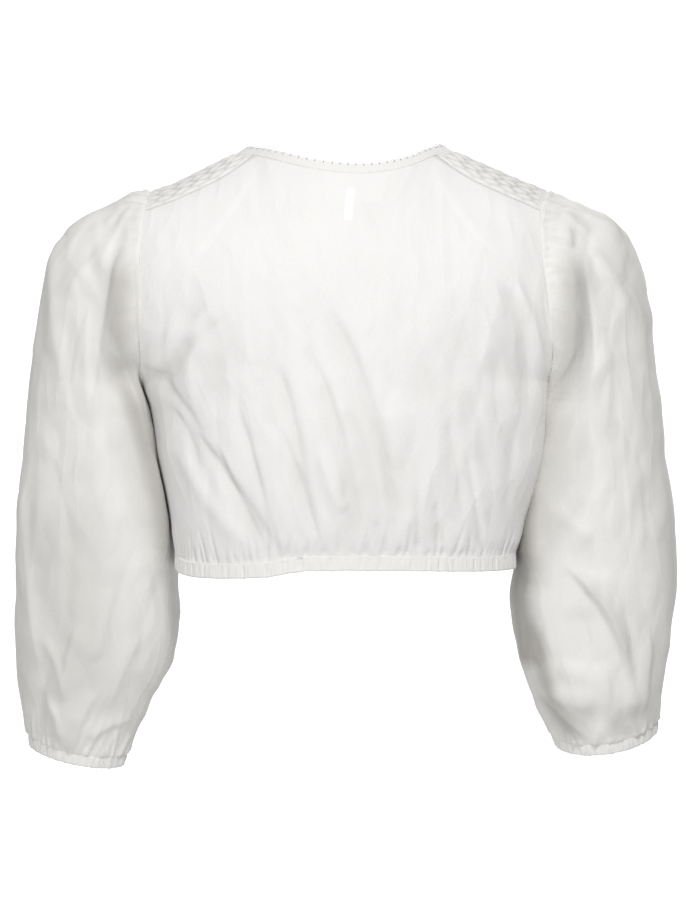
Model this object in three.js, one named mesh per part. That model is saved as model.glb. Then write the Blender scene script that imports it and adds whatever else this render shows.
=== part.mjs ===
// Dirndl blouse of thin white cotton, filled out as it is when worn: a hollow body with a gathered
// hem, smocked shoulder pieces, balloon sleeves and a bound neckline with a picot edge.
// Millimetres, +Z up. The wearer's back faces -Y and the wearer's right is +X. The origin lies
// between the shoulders, where the wearer carries the blouse.
import * as THREE from "three";

// Thicknesses and widths of the cloth pieces
const WALL = 1.4; // one layer of cloth, with its seams
const BAND = 2.4; // a folded band: binding, hem casing, cuff
const SEAM = 0.3; // gap left between two pieces where they are sewn together
const CURVED_SEAM = 1; // and where the seam is curved or the pieces meet at an angle
const UNDERARM_SEAM = 2.2; // and where a sleeve folds down from the body at the underarm
const BINDING_WIDTH = 9;
const PICOT_GAP = 0.2;
const PICOT_BASE = 1;
const PICOT_HEIGHT = 2.4;
const PICOT_WALL = 1.2;
const CASING_HEIGHT = 11;
const CUFF_HEIGHT = 8;

// How many repeats go round or along a piece
const PICOTS = 64;
const HEM_GATHERS = 90;
const CUFF_GATHERS = 32;
const LOZENGES_ALONG = 6; // smocked lozenges from neck to sleeve
const LOZENGES_ACROSS = 8; // and from the back edge over the shoulder to the front edge

// Depths of the raised and gathered forms
const CASING_GATHER = 0.9;
const CUFF_GATHER = 0.8;
const HEM_WAVE = 2.2; // gathers of a panel at the hem casing
const HEM_WAVE_REACH = 34; // and how far up they run
const HEM_WAVE_HELD = 0.3; // share of their depth that is left at the casing itself
const HEAD_WAVE = 2.4; // gathers of a sleeve at the armhole
const HEAD_WAVE_FULL = 14; // they are deepest this far down the sleeve
const HEAD_WAVE_REACH = 22;
const HEAD_WAVE_ROUND = 0.6; // they end on the sleeve's inner side: more turns them further round
const CUFF_WAVE = 2.2; // gathers of a sleeve at its cuff
const CUFF_WAVE_REACH = 34;
const CUFF_WAVE_HELD = 0.3;
const LOZENGE_RISE = 1.3;
const FOLD_ROOM = 12; // folds die out over this distance from a hem
const FOLD_EDGE = 1 / 12; // and over this share of a piece from its other edges
const FOLD_SIDE = 1 / 3; // a sleeve's folds die out towards its outer and inner side, seen along Y

// Body heights
const HEM_Z = -352; // seam between the panels and the hem casing
const UNDERARM_Z = -196;
const BACK_NECK_Z = -3;
const FRONT_NECK_Z = -117;

// The side edge of a panel runs up the side seam to this share of its length, then round the armhole.
const UNDERARM_SHARE = 0.47;
const FULLNESS = 0.86; // below 1 a section is flatter across the back and fuller at its sides
const SIDE_TURN = Math.PI / 2; // how far a section turns towards the side: below the underarm
const ARMHOLE_TURN = 1.22; // and at the armhole
const TOP_SHARE = 7; // how quickly the shaping of a panel's upper edge fades downwards
const ARMHOLE_SHARE = 0.2; // share of its length over which a panel changes from the one to the other
const YOKE_TURN = 1.13; // how far the shoulder piece turns down on each side of the shoulder
const YOKE_LENGTH = 100; // from the neck binding to the sleeve
const YOKE_REACH = 45; // from the ridge of the shoulder to the back or front edge
const YOKE_INSET = 0.4; // the shoulder piece ends this far from the binding and the sleeve
const YOKE_SIDE_INSET = 1.2; // and this far from the panels
const NECK_FLARE = 0.4; // how much the neckline's cloth leans outwards for each millimetre down
const NECK_SIDE_FLARE = 1.3; // and how much more it does on the shoulders
const NECK_SEAM = { back: 1, front: 1.4 }; // gap between a panel and the neck binding
const SLEEVE_LENGTH = 480;
const SLEEVE_HEAD_SHARE = 12; // how quickly the armhole's shape fades down the sleeve
const SLEEVE_SPREAD = 20; // how fast a sleeve leaves the armhole sideways, for its whole length
const SLEEVE_SPREAD_END = 1 / 12; // share of its length where that begins to end
const CUFF_FLARE = 0.2; // how much a cuff still follows the sleeve's taper
const BEFORE_CUFF = 0.97; // place on the sleeve that gives the cuff's direction
const CLEARANCE = 5; // a sleeve lies this far from the body's side
const SIDE_REACH = 1.5 * CASING_HEIGHT; // and so it does this far below the panels

const COLORS = {
  cloth: 0xf1efea,
  band: 0xf4f2ee,
  label: 0xfaf9f6,
};

// Neckline, the upper edge of its binding: once round, from the left shoulder by the back.
const NECKLINE = [
  { x: -95, y: -2, z: 20.5 },
  { x: -80, y: -22, z: 20.5 },
  { x: -60, y: -40, z: 16.5 },
  { x: -36, y: -53, z: 11 },
  { x: -10, y: -60, z: 7 },
  { x: 14, y: -61, z: 5.5 },
  { x: 38, y: -54, z: 8 },
  { x: 58, y: -43, z: 13 },
  { x: 76, y: -25, z: 20.5 },
  { x: 91, y: -2, z: 22.5 },
  { x: 97, y: 25, z: 6 },
  { x: 90, y: 55, z: -30 },
  { x: 68, y: 80, z: -72 },
  { x: 36, y: 94, z: -99 },
  { x: 0, y: 98, z: -108 },
  { x: -36, y: 94, z: -99 },
  { x: -68, y: 80, z: -72 },
  { x: -90, y: 55, z: -30 },
  { x: -98, y: 25, z: 5 },
];
const NECK_CENTRE_Y = 15;
const NECK_ROWS = {
  back: { left: 1, right: 8 }, // rows of the table where the shoulder pieces end
  shoulder: { left: 0, right: 9 },
  front: { left: 18, right: 10 },
};

// Armhole, once round from the shoulder by the back: distance from the middle on each side.
const ARMHOLE = [
  { y: 2, z: -18.5, left: 181, right: 186 }, // shoulder
  { y: -38, z: -36, left: 185, right: 178 }, // back edge of the shoulder piece
  { y: -55, z: -75, left: 190, right: 179 },
  { y: -60, z: -115, left: 190, right: 184 },
  { y: -50, z: -155, left: 191, right: 189 },
  { y: -28, z: -184, left: 192, right: 190 },
  { y: 0, z: UNDERARM_Z, left: 188, right: 188 }, // underarm
  { y: 26, z: -186, left: 188, right: 188 },
  { y: 45, z: -155, left: 184, right: 184 },
  { y: 53, z: -115, left: 179, right: 179 },
  { y: 54, z: -77, left: 178, right: 178 },
  { y: 43, z: -43, left: 179, right: 180 }, // front edge of the shoulder piece
];
const UNDERARM_ROW = 6;
const ROWS_TO_YOKE = 5;

// Side seam: distance from the middle by height.
const SIDE_SEAM = [
  { z: HEM_Z, left: 158, right: 155 },
  { z: -315, left: 163, right: 166 },
  { z: -276, left: 171, right: 179 },
  { z: -245, left: 176, right: 185 },
  { z: -215, left: 181, right: 188 },
  { z: UNDERARM_Z, left: 188, right: 188 },
];

// How much lower than the front the gathered hem of the back hangs, by the share of its width.
const HEM_DROP = [
  { u: 0, drop: 0 },
  { u: 0.16, drop: 8.5 },
  { u: 0.34, drop: 8.5 },
  { u: 0.43, drop: 2.5 },
  { u: 0.8, drop: 3 },
  { u: 1, drop: 0 },
];
const DROP_SHARE = 4; // how quickly that fades upwards

// Depth of the body at the middle, by height.
const BACK_DEPTH = [
  { z: -355, depth: 92 },
  { z: -330, depth: 101 },
  { z: -300, depth: 108 },
  { z: -240, depth: 114 },
  { z: -180, depth: 114 },
  { z: -120, depth: 110 },
  { z: -60, depth: 98 },
  { z: -20, depth: 78 },
  { z: 0, depth: 64 },
];
const FRONT_DEPTH = [
  { z: -355, depth: 94 },
  { z: -330, depth: 104 },
  { z: -290, depth: 116 },
  { z: -240, depth: 124 },
  { z: -190, depth: 125 },
  { z: -150, depth: 116 },
  { z: FRONT_NECK_Z, depth: 101 },
];

// Shoulder pieces: a section for each quarter from the neck to the sleeve. Each runs from the back
// edge over the ridge of the shoulder to the front edge: distance from the middle, y and z.
const YOKE = {
  left: [
    { ridge: [104, -1, 17], back: [87, -25, 14], front: [106, 26, 0] },
    { ridge: [121, 0, 8], back: [110, -35, -3], front: [124, 38, -15] },
    { ridge: [140, 1, -2], back: [135, -41, -16], front: [142, 44, -26] },
    { ridge: [160, 2, -12], back: [160, -42, -27], front: [160, 46, -35] },
    { ridge: [181, 2, -18.5], back: [185, -38, -36], front: [179, 43, -43] },
  ],
  right: [
    { ridge: [100, -1, 19], back: [83, -28, 14], front: [105, 26, 1] },
    { ridge: [119, 0, 10], back: [107, -36, -3], front: [124, 38, -15] },
    { ridge: [141, 1, 0], back: [130, -41, -15], front: [142, 44, -26] },
    { ridge: [163, 2, -10], back: [153, -41, -25], front: [161, 46, -35] },
    { ridge: [186, 2, -18.5], back: [178, -38, -36], front: [180, 43, -43] },
  ],
};

// Sleeves: a ring for each row. It is an ellipse through its outer point and its inner point, with
// its middle at y and its half depth; lean is how much its front side lies higher than its back.
const SLEEVE = {
  left: [
    { outX: 181, outZ: -18.5, inX: 188, inZ: -196, y: -3, depth: 58, lean: 0 },
    { outX: 203, outZ: -23, inX: 190, inZ: -205, y: 7, depth: 64, lean: 0 },
    { outX: 234, outZ: -37.5, inX: 184, inZ: -216, y: 19, depth: 70, lean: 0 },
    { outX: 262, outZ: -58, inX: 177, inZ: -230, y: 29, depth: 74, lean: 0 },
    { outX: 276, outZ: -86, inX: 171, inZ: -248, y: 35, depth: 76, lean: 0 },
    { outX: 284, outZ: -124, inX: 166, inZ: -273, y: 39, depth: 77, lean: 0 },
    { outX: 291, outZ: -175, inX: 162, inZ: -304, y: 43, depth: 77, lean: 0 },
    { outX: 297, outZ: -228, inX: 158, inZ: -336, y: 46, depth: 76, lean: 0.02 },
    { outX: 302, outZ: -282, inX: 156, inZ: -367, y: 49, depth: 75, lean: 0.04 },
    { outX: 305, outZ: -336, inX: 155, inZ: -398, y: 51, depth: 74, lean: 0.07 },
    { outX: 307, outZ: -388, inX: 158, inZ: -426, y: 52, depth: 72, lean: 0.1 },
    { outX: 307, outZ: -432, inX: 165, inZ: -454, y: 53, depth: 67, lean: 0.14 },
    { outX: 305, outZ: -468, inX: 178, inZ: -481, y: 55, depth: 60, lean: 0.18 },
    { outX: 300, outZ: -496, inX: 192, inZ: -510, y: 57, depth: 51, lean: 0.22 },
    { outX: 293, outZ: -518, inX: 205, inZ: -536, y: 59, depth: 41, lean: 0.25 },
  ],
  right: [
    { outX: 186, outZ: -18.5, inX: 188, inZ: -196, y: -3, depth: 58, lean: 0 },
    { outX: 203, outZ: -25, inX: 190, inZ: -205, y: 7, depth: 64, lean: 0 },
    { outX: 234, outZ: -37.5, inX: 184, inZ: -216, y: 19, depth: 70, lean: 0 },
    { outX: 259, outZ: -58, inX: 178, inZ: -230, y: 29, depth: 74, lean: 0 },
    { outX: 271, outZ: -86, inX: 173, inZ: -248, y: 35, depth: 76, lean: 0 },
    { outX: 278, outZ: -124, inX: 168, inZ: -273, y: 39, depth: 77, lean: 0 },
    { outX: 285, outZ: -175, inX: 162, inZ: -304, y: 43, depth: 77, lean: 0.02 },
    { outX: 291, outZ: -228, inX: 157, inZ: -334, y: 46, depth: 76, lean: 0.04 },
    { outX: 297, outZ: -282, inX: 154, inZ: -364, y: 49, depth: 75, lean: 0.08 },
    { outX: 304, outZ: -336, inX: 152, inZ: -392, y: 51, depth: 74, lean: 0.12 },
    { outX: 304.5, outZ: -384, inX: 154, inZ: -420, y: 52, depth: 71, lean: 0.18 },
    { outX: 300, outZ: -426, inX: 160, inZ: -447, y: 53, depth: 66, lean: 0.25 },
    { outX: 295, outZ: -461, inX: 169, inZ: -473, y: 55, depth: 59, lean: 0.32 },
    { outX: 290, outZ: -486, inX: 179, inZ: -496, y: 57, depth: 50, lean: 0.4 },
    { outX: 286, outZ: -503, inX: 190, inZ: -516, y: 59, depth: 41, lean: 0.44 },
  ],
};

// Main folds, as seen from behind: a curve through three points (x, z), its half width, and its
// height, negative for a trough.
const BACK_FOLDS = [
  { x0: -18, z0: -126, x1: 21, z1: -211, x2: 49, z2: -339, width: 10, height: -4 },
  { x0: -33, z0: -168, x1: -5, z1: -245, x2: 14, z2: -350, width: 9, height: -4 },
  { x0: -64, z0: -178, x1: -47, z1: -236, x2: -30, z2: -344, width: 9, height: -3.5 },
  { x0: -146, z0: -231, x1: -104, z1: -287, x2: -62, z2: -352, width: 10, height: -4 },
  { x0: -158, z0: -249, x1: -129, z1: -299, x2: -86, z2: -352, width: 9, height: 3.5 },
  { x0: 114, z0: -191, x1: 128, z1: -231, x2: 148, z2: -302, width: 9, height: -4 },
  { x0: 132, z0: -99, x1: 163, z1: -149, x2: 163, z2: -231, width: 11, height: -5 },
  { x0: -149, z0: -129, x1: -170, z1: -168, x2: -178, z2: -184, width: 10, height: 3.5 },
  { x0: 63, z0: -287, x1: 66, z1: -320, x2: 64, z2: -350, width: 8, height: -3 },
];
const FRONT_FOLDS = [
  { x0: 60, z0: -150, x1: 44, z1: -230, x2: 40, z2: -345, width: 10, height: -4 },
  { x0: -66, z0: -160, x1: -50, z1: -240, x2: -44, z2: -345, width: 10, height: -4 },
  { x0: 4, z0: -180, x1: -3, z1: -260, x2: -6, z2: -345, width: 9, height: -3 },
  { x0: 120, z0: -210, x1: 104, z1: -270, x2: 92, z2: -345, width: 9, height: -3.5 },
  { x0: -124, z0: -215, x1: -108, z1: -275, x2: -98, z2: -345, width: 9, height: -3.5 },
];
const SLEEVE_FOLDS = {
  left: [
    { x0: -190, z0: -24, x1: -238, z1: -44, x2: -262, z2: -66, width: 9, height: -3 },
    { x0: -258, z0: -63, x1: -269, z1: -110, x2: -254, z2: -230, width: 11, height: -4 },
    { x0: -200, z0: -50, x1: -208, z1: -106, x2: -228, z2: -175, width: 15, height: -10 },
    { x0: -209, z0: -204, x1: -197, z1: -281, x2: -168, z2: -400, width: 14, height: -7 },
    { x0: -279, z0: -425, x1: -265, z1: -457, x2: -260, z2: -488, width: 10, height: -4 },
    { x0: -225, z0: -474, x1: -244, z1: -504, x2: -250, z2: -534, width: 10, height: -4 },
    { x0: -299, z0: -274, x1: -294, z1: -366, x2: -279, z2: -478, width: 11, height: -3 },
  ],
  right: [
    { x0: 196, z0: -24, x1: 227, z1: -43, x2: 259, z2: -63, width: 9, height: -3 },
    { x0: 220, z0: -71, x1: 239, z1: -92, x2: 270, z2: -149, width: 11, height: -4 },
    { x0: 208, z0: -80, x1: 213, z1: -133, x2: 225, z2: -175, width: 15, height: -8 },
    { x0: 192, z0: -304, x1: 209, z1: -327, x2: 227, z2: -338, width: 11, height: -3 },
    { x0: 200, z0: -363, x1: 242, z1: -413, x2: 264, z2: -488, width: 11, height: -5 },
    { x0: 190, z0: -476, x1: 210, z1: -481, x2: 229, z2: -480, width: 10, height: -5 },
    { x0: 278, z0: -417, x1: 274, z1: -467, x2: 268, z2: -502, width: 10, height: -4 },
  ],
};
const FOLD_STEPS = 10; // straight steps that a fold's curve is measured by
const FOLD_TAPER = 0.25; // share of a fold's length over which it dies out at each end
const FOLD_END = 0.15; // and the share of its height that is left there

// Blank labels inside the back neck: columns and rows of the back panel's grid
const LABELS = {
  neck_label: { left: 28, right: 34, bottom: 14, top: 16, layer: 0 },
  care_tag: { left: 30, right: 31, bottom: 13, top: 15, layer: 1 },
};
const LABEL_WALL = 1;

// Grids
const BACK_COLUMNS = 60;
const FRONT_COLUMNS = 40;
const BACK_ROWS = 16;
const FRONT_ROWS = 13;
const CLOSER_ENDS = 0.06; // rows lie closer together at a panel's hem and upper edge
const SLEEVE_COLUMNS = 36;
const SLEEVE_ROWS = 16;
const NECK_SHARE = {
  back: { from: 0.35, to: 0.65 }, // share of a panel's width where its upper edge is the neckline
  front: { from: 0.2, to: 0.8 },
};
const DIFFERENCE = 1e-3; // step in u and v for a surface's direction

const SIDES = { left: -1, right: 1 };
const FACES = { back: -1, front: 1 };
const { lerp, clamp } = THREE.MathUtils;

function evenly(count, closed = false) {
  return Array.from({ length: closed ? count : count + 1 }, (_, i) => i / count);
}

// A table's columns at a place between two rows, on a smooth curve through the rows. The place is a
// row number, or a value of the column named key.
function between(table, place, key) {
  const last = table.length - 1;
  const keyOf = (i) => (key ? table[i][key] : i);
  let i = 0;
  while (i < last - 1 && place > keyOf(i + 1)) i += 1;
  const span = keyOf(i + 1) - keyOf(i);
  const t = clamp((place - keyOf(i)) / span, 0, 1);
  const smooth = (pick) => {
    const slope = (row) => {
      const low = Math.max(row - 1, 0);
      const high = Math.min(row + 1, last);
      return (pick(table[high]) - pick(table[low])) / (keyOf(high) - keyOf(low));
    };
    const a = pick(table[i]);
    const b = pick(table[i + 1]);
    const da = slope(i) * span;
    const db = slope(i + 1) * span;
    return a + t * (da + t * (3 * (b - a) - 2 * da - db + t * (2 * (a - b) + da + db)));
  };
  const values = {};
  for (const [name, cell] of Object.entries(table[i]))
    values[name] = Array.isArray(cell)
      ? cell.map((_, axis) => smooth((row) => row[name][axis]))
      : smooth((row) => row[name]);
  return values;
}

// A point on a closed curve through a table's rows; whole numbers give the rows themselves.
function around(points, row) {
  const count = points.length;
  const turned = ((row % count) + count) % count;
  return new THREE.CatmullRomCurve3(points, true, "catmullrom").getPoint(turned / count);
}

const NECK_POINTS = NECKLINE.map((row) => new THREE.Vector3(row.x, row.y, row.z));
const ARMHOLE_POINTS = Object.fromEntries(
  Object.entries(SIDES).map(([name, side]) => [
    name,
    ARMHOLE.map((row) => new THREE.Vector3(side * row[name], row.y, row.z)),
  ]),
);

// The neckline's cloth: down is the distance from the binding's upper edge, along the cloth.
function neckline(row, down) {
  const edge = around(NECK_POINTS, row);
  const outward = new THREE.Vector3(edge.x, edge.y - NECK_CENTRE_Y, 0).normalize();
  const spread = NECK_FLARE + NECK_SIDE_FLARE * Math.abs(outward.x) ** 3;
  const direction = outward.multiplyScalar(spread).add(new THREE.Vector3(0, 0, -1)).normalize();
  return edge.addScaledVector(direction, down);
}

// Shoulder piece: s runs from the neck to the sleeve, w from the back edge (-1) to the front edge (1).
function yoke(name, s, w) {
  const side = SIDES[name];
  const loft = (place) => {
    const row = between(YOKE[name], place * (YOKE[name].length - 1));
    const edge = w < 0 ? row.back : row.front;
    const turn = Math.abs(w) * YOKE_TURN;
    const out = Math.sin(turn) / Math.sin(YOKE_TURN);
    const drop = (1 - Math.cos(turn)) / (1 - Math.cos(YOKE_TURN));
    return new THREE.Vector3(
      side * lerp(row.ridge[0], edge[0], w * w),
      lerp(row.ridge[1], edge[1], out),
      lerp(row.ridge[2], edge[2], drop),
    );
  };
  const neckRow = NECK_ROWS.shoulder[name] + side * w;
  const atNeck = neckline(neckRow, BINDING_WIDTH + CURVED_SEAM).sub(loft(0));
  const atSleeve = around(ARMHOLE_POINTS[name], -w).sub(loft(1));
  return loft(s)
    .addScaledVector(atNeck, (1 - s) ** 3)
    .addScaledVector(atSleeve, s ** 3);
}

// A panel's side edge, from the hem up the side seam and round the armhole to the shoulder piece.
function sideEdge(faceName, name, v) {
  const face = FACES[faceName];
  const seam = (face * SEAM) / 2;
  if (v < UNDERARM_SHARE) {
    const z = lerp(HEM_Z, UNDERARM_Z, v / UNDERARM_SHARE);
    return new THREE.Vector3(SIDES[name] * between(SIDE_SEAM, z, "z")[name], seam, z);
  }
  const rows = ((v - UNDERARM_SHARE) / (1 - UNDERARM_SHARE)) * ROWS_TO_YOKE;
  const edge = around(ARMHOLE_POINTS[name], UNDERARM_ROW + face * rows);
  edge.y += seam;
  return edge;
}

// A panel's upper edge: one shoulder piece, the neckline, the other shoulder piece.
function topEdge(faceName, u) {
  const w = FACES[faceName];
  const { from, to } = NECK_SHARE[faceName];
  const rows = NECK_ROWS[faceName];
  if (u < from) return yoke("left", 1 - u / from, w);
  if (u > to) return yoke("right", (u - to) / (1 - to), w);
  const row = lerp(rows.left, rows.right, (u - from) / (to - from));
  return neckline(row, BINDING_WIDTH + NECK_SEAM[faceName]);
}

// Back or front panel: u runs from left to right, v from the hem to the shoulders and neck.
function panel(faceName, u, v) {
  const face = FACES[faceName];
  const depths = faceName === "back" ? BACK_DEPTH : FRONT_DEPTH;
  const neckZ = faceName === "back" ? BACK_NECK_Z : FRONT_NECK_Z;
  const loft = (height) => {
    const left = sideEdge(faceName, "left", height);
    const right = sideEdge(faceName, "right", height);
    const armhole = clamp((height - UNDERARM_SHARE) / ARMHOLE_SHARE, 0, 1);
    const turn = lerp(SIDE_TURN, ARMHOLE_TURN, armhole);
    const angle = (2 * u - 1) * turn;
    const out = Math.max(0, (Math.cos(angle) - Math.cos(turn)) / (1 - Math.cos(turn))) ** FULLNESS;
    const z = lerp(HEM_Z, neckZ, height);
    const point = left.lerp(right, (Math.sin(angle) / Math.sin(turn) + 1) / 2);
    point.y = lerp(point.y, face * between(depths, z, "z").depth, out);
    point.z = lerp(point.z, z, out);
    return point;
  };
  const point = loft(v).addScaledVector(topEdge(faceName, u).sub(loft(1)), v ** TOP_SHARE);
  if (faceName === "back") point.z -= between(HEM_DROP, u, "u").drop * (1 - v) ** DROP_SHARE;
  return point;
}

// How far the body reaches to a side at a depth y and height z, below the underarm.
function bodySide(name, y, z) {
  if (z > UNDERARM_Z || z < HEM_Z - SIDE_REACH) return 0;
  const depths = y < 0 ? BACK_DEPTH : FRONT_DEPTH;
  const share = Math.abs(y) / between(depths, z, "z").depth;
  if (share >= 1) return 0;
  return between(SIDE_SEAM, z, "z")[name] * Math.sqrt(1 - share ** (2 / FULLNESS));
}

// Sleeve: turn runs once round from its outer side by the back, v from the armhole to the cuff.
function sleeve(name, turn, v) {
  const side = SIDES[name];
  const table = SLEEVE[name];
  const angle = turn * 2 * Math.PI;
  const ring = (place) => {
    const row = between(table, place * (table.length - 1));
    const share = (1 + Math.cos(angle)) / 2;
    const y = -row.depth * Math.sin(angle);
    return new THREE.Vector3(
      side * lerp(row.inX, row.outX, share),
      row.y + y,
      lerp(row.inZ, row.outZ, share) + row.lean * y,
    );
  };
  const start = around(ARMHOLE_POINTS[name], turn * ARMHOLE.length);
  start.x += side * lerp(SEAM, UNDERARM_SEAM, (1 - Math.cos(angle)) / 2);
  const spread = Math.abs(start.x) + v * SLEEVE_SPREAD;
  const fromArmhole = lerp(spread, 0, clamp(v / SLEEVE_SPREAD_END - 1, 0, 1));
  const point = ring(v).addScaledVector(start.sub(ring(0)), (1 - v) ** SLEEVE_HEAD_SHARE);
  const least = Math.max(fromArmhole, bodySide(name, point.y, point.z) + CLEARANCE);
  point.x = side * Math.max(Math.abs(point.x), least);
  return point;
}

// The way out of a surface at a place, by differences.
function outwards(surface, u, v, facing) {
  const u0 = Math.max(u - DIFFERENCE, surface.closed ? -1 : 0);
  const u1 = Math.min(u + DIFFERENCE, surface.closed ? 2 : 1);
  const v0 = Math.max(v - DIFFERENCE, 0);
  const v1 = Math.min(v + DIFFERENCE, 1);
  const across = surface.at(u1, v).sub(surface.at(u0, v));
  const along = surface.at(u, v1).sub(surface.at(u, v0));
  return across.cross(along).normalize().multiplyScalar(facing);
}

// How far the folds of a table lift the cloth at a point, seen along Y.
function foldLift(folds, x, z) {
  let lift = 0;
  for (const fold of folds) {
    const curve = new THREE.QuadraticBezierCurve(
      new THREE.Vector2(fold.x0, fold.z0),
      new THREE.Vector2(
        2 * fold.x1 - (fold.x0 + fold.x2) / 2,
        2 * fold.z1 - (fold.z0 + fold.z2) / 2,
      ),
      new THREE.Vector2(fold.x2, fold.z2),
    );
    const here = new THREE.Vector2(x, z);
    let nearest = Infinity;
    let place = 0;
    for (let i = 0; i <= FOLD_STEPS; i += 1) {
      const distance = curve.getPoint(i / FOLD_STEPS).distanceTo(here);
      if (distance < nearest) {
        nearest = distance;
        place = i / FOLD_STEPS;
      }
    }
    const taper = clamp(Math.min(place, 1 - place) / FOLD_TAPER, FOLD_END, 1);
    lift += fold.height * taper * Math.exp(-((nearest / fold.width) ** 2));
  }
  return lift;
}

// A closed wall of cloth over a surface: its outer points, the same points a thickness further in,
// and its edges. lift moves both faces outwards, relief only the outer one.
function wall({ surface, facing, us, vs, thickness = WALL, base = 0, lift, relief, diamond }) {
  const outer = [];
  const inner = [];
  vs.forEach((v, j) => {
    us.forEach((u, i) => {
      const point = surface.at(u, v);
      const out = outwards(surface, u, v, facing);
      const lifted = base + (lift ? lift(u, v, point, i) : 0);
      const raised = relief ? relief(i, j) : 0;
      outer.push(point.clone().addScaledVector(out, lifted + raised));
      inner.push(point.clone().addScaledVector(out, lifted - thickness));
    });
  });
  const columns = us.length;
  const wraps = Boolean(surface.closed);
  const cells = wraps ? columns : columns - 1;
  const count = outer.length;
  const index = [];
  const quad = (a, b, c, d, cross) => {
    if (cross) index.push(a, b, d, b, c, d);
    else index.push(a, b, c, a, c, d);
  };
  const at = (i, j) => j * columns + (i % columns);
  for (let j = 0; j < vs.length - 1; j += 1)
    for (let i = 0; i < cells; i += 1) {
      const [a, b, c, d] = [at(i, j), at(i + 1, j), at(i + 1, j + 1), at(i, j + 1)];
      const cross = diamond ? (i + j) % 2 === 0 : i < cells / 2;
      quad(a, b, c, d, cross);
      quad(count + a, count + d, count + c, count + b, cross);
    }
  const top = vs.length - 1;
  for (let i = 0; i < cells; i += 1) {
    quad(count + at(i, 0), count + at(i + 1, 0), at(i + 1, 0), at(i, 0));
    quad(at(i, top), at(i + 1, top), count + at(i + 1, top), count + at(i, top));
  }
  if (!wraps)
    for (let j = 0; j < top; j += 1) {
      quad(at(0, j), at(0, j + 1), count + at(0, j + 1), count + at(0, j));
      quad(
        count + at(cells, j),
        count + at(cells, j + 1),
        at(cells, j + 1),
        at(cells, j),
      );
    }
  const geometry = new THREE.BufferGeometry();
  geometry.setAttribute(
    "position",
    new THREE.Float32BufferAttribute(
      [...outer, ...inner].flatMap((p) => p.toArray()),
      3,
    ),
  );
  if (facing < 0)
    for (let i = 0; i < index.length; i += 3)
      [index[i + 1], index[i + 2]] = [index[i + 2], index[i + 1]];
  geometry.setIndex(index);
  return geometry;
}

const crest = (i) => (i % 2 === 0 ? 1 : -1); // gathers alternate from one grid column to the next
const fade = (distance, reach) => Math.exp(-((distance / reach) ** 2));

// The rows of a panel's grid, as heights from 0 to 1.
function panelRows(count) {
  return evenly(count).map((t) => t - CLOSER_ENDS * Math.sin(2 * Math.PI * t));
}

function bodyPanel(faceName) {
  const isBack = faceName === "back";
  const folds = isBack ? BACK_FOLDS : FRONT_FOLDS;
  return wall({
    surface: { at: (u, v) => panel(faceName, u, v) },
    facing: isBack ? 1 : -1,
    us: evenly(isBack ? BACK_COLUMNS : FRONT_COLUMNS),
    vs: panelRows(isBack ? BACK_ROWS : FRONT_ROWS),
    lift: (u, v, point, i) => {
      const edge = clamp(Math.min(u, 1 - u, 1 - v) / FOLD_EDGE, 0, 1);
      const above = point.z - panel(faceName, u, 0).z;
      const hem = clamp(above / FOLD_ROOM, 0, 1);
      const held = lerp(HEM_WAVE_HELD, 1, hem);
      const wave = HEM_WAVE * crest(i) * fade(above, HEM_WAVE_REACH) * held;
      return edge * (wave + hem * foldLift(folds, point.x, point.z));
    },
  });
}

// The same fold on the other half of the blouse.
function mirrored(fold) {
  return { ...fold, x0: -fold.x0, x1: -fold.x1, x2: -fold.x2 };
}

function shoulderPiece(name) {
  const widest = 1 - YOKE_SIDE_INSET / YOKE_REACH;
  const inset = YOKE_INSET / YOKE_LENGTH;
  const last = 2 * LOZENGES_ALONG;
  const across = 2 * LOZENGES_ACROSS;
  return wall({
    surface: { at: (u, v) => yoke(name, u, (2 * v - 1) * widest) },
    facing: name === "left" ? -1 : 1,
    us: evenly(last).map((s) => lerp(inset, 1 - inset, s)),
    vs: evenly(across),
    diamond: true,
    relief: (i, j) => {
      const inside = i > 0 && i < last && j > 0 && j < across;
      return inside && (i + j) % 2 === 1 ? LOZENGE_RISE : 0;
    },
  });
}

function sleevePiece(name) {
  const other = name === "left" ? "right" : "left";
  const hidden = SLEEVE_FOLDS[other].map(mirrored);
  const lastRow = SLEEVE[name].at(-1);
  return wall({
    surface: { closed: true, at: (u, v) => sleeve(name, u, v) },
    facing: name === "left" ? 1 : -1,
    us: evenly(SLEEVE_COLUMNS, true),
    vs: evenly(SLEEVE_ROWS),
    lift: (u, v, point, i) => {
      const towardsBack = Math.sin(u * 2 * Math.PI);
      const folds = towardsBack > 0 ? SLEEVE_FOLDS[name] : hidden;
      const ends = clamp(Math.min(v, 1 - v) / FOLD_EDGE, 0, 1);
      const side = clamp(Math.abs(towardsBack) / FOLD_SIDE, 0, 1);
      const down = v * SLEEVE_LENGTH;
      const start = clamp(down / FOLD_ROOM, 0, 1);
      const upper = clamp(Math.cos(u * 2 * Math.PI) + HEAD_WAVE_ROUND, 0, 1);
      const head = HEAD_WAVE * crest(i) * fade(down - HEAD_WAVE_FULL, HEAD_WAVE_REACH) * start;
      const fromCuff = point.z - lerp(lastRow.inZ, lastRow.outZ, 0.5);
      const held = clamp((1 - v) / FOLD_EDGE + CUFF_WAVE_HELD, 0, 1);
      const gathers = CUFF_WAVE * crest(i) * fade(fromCuff, CUFF_WAVE_REACH) * held;
      return head * upper + gathers + ends * side * foldLift(folds, point.x, point.z);
    },
  });
}

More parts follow.
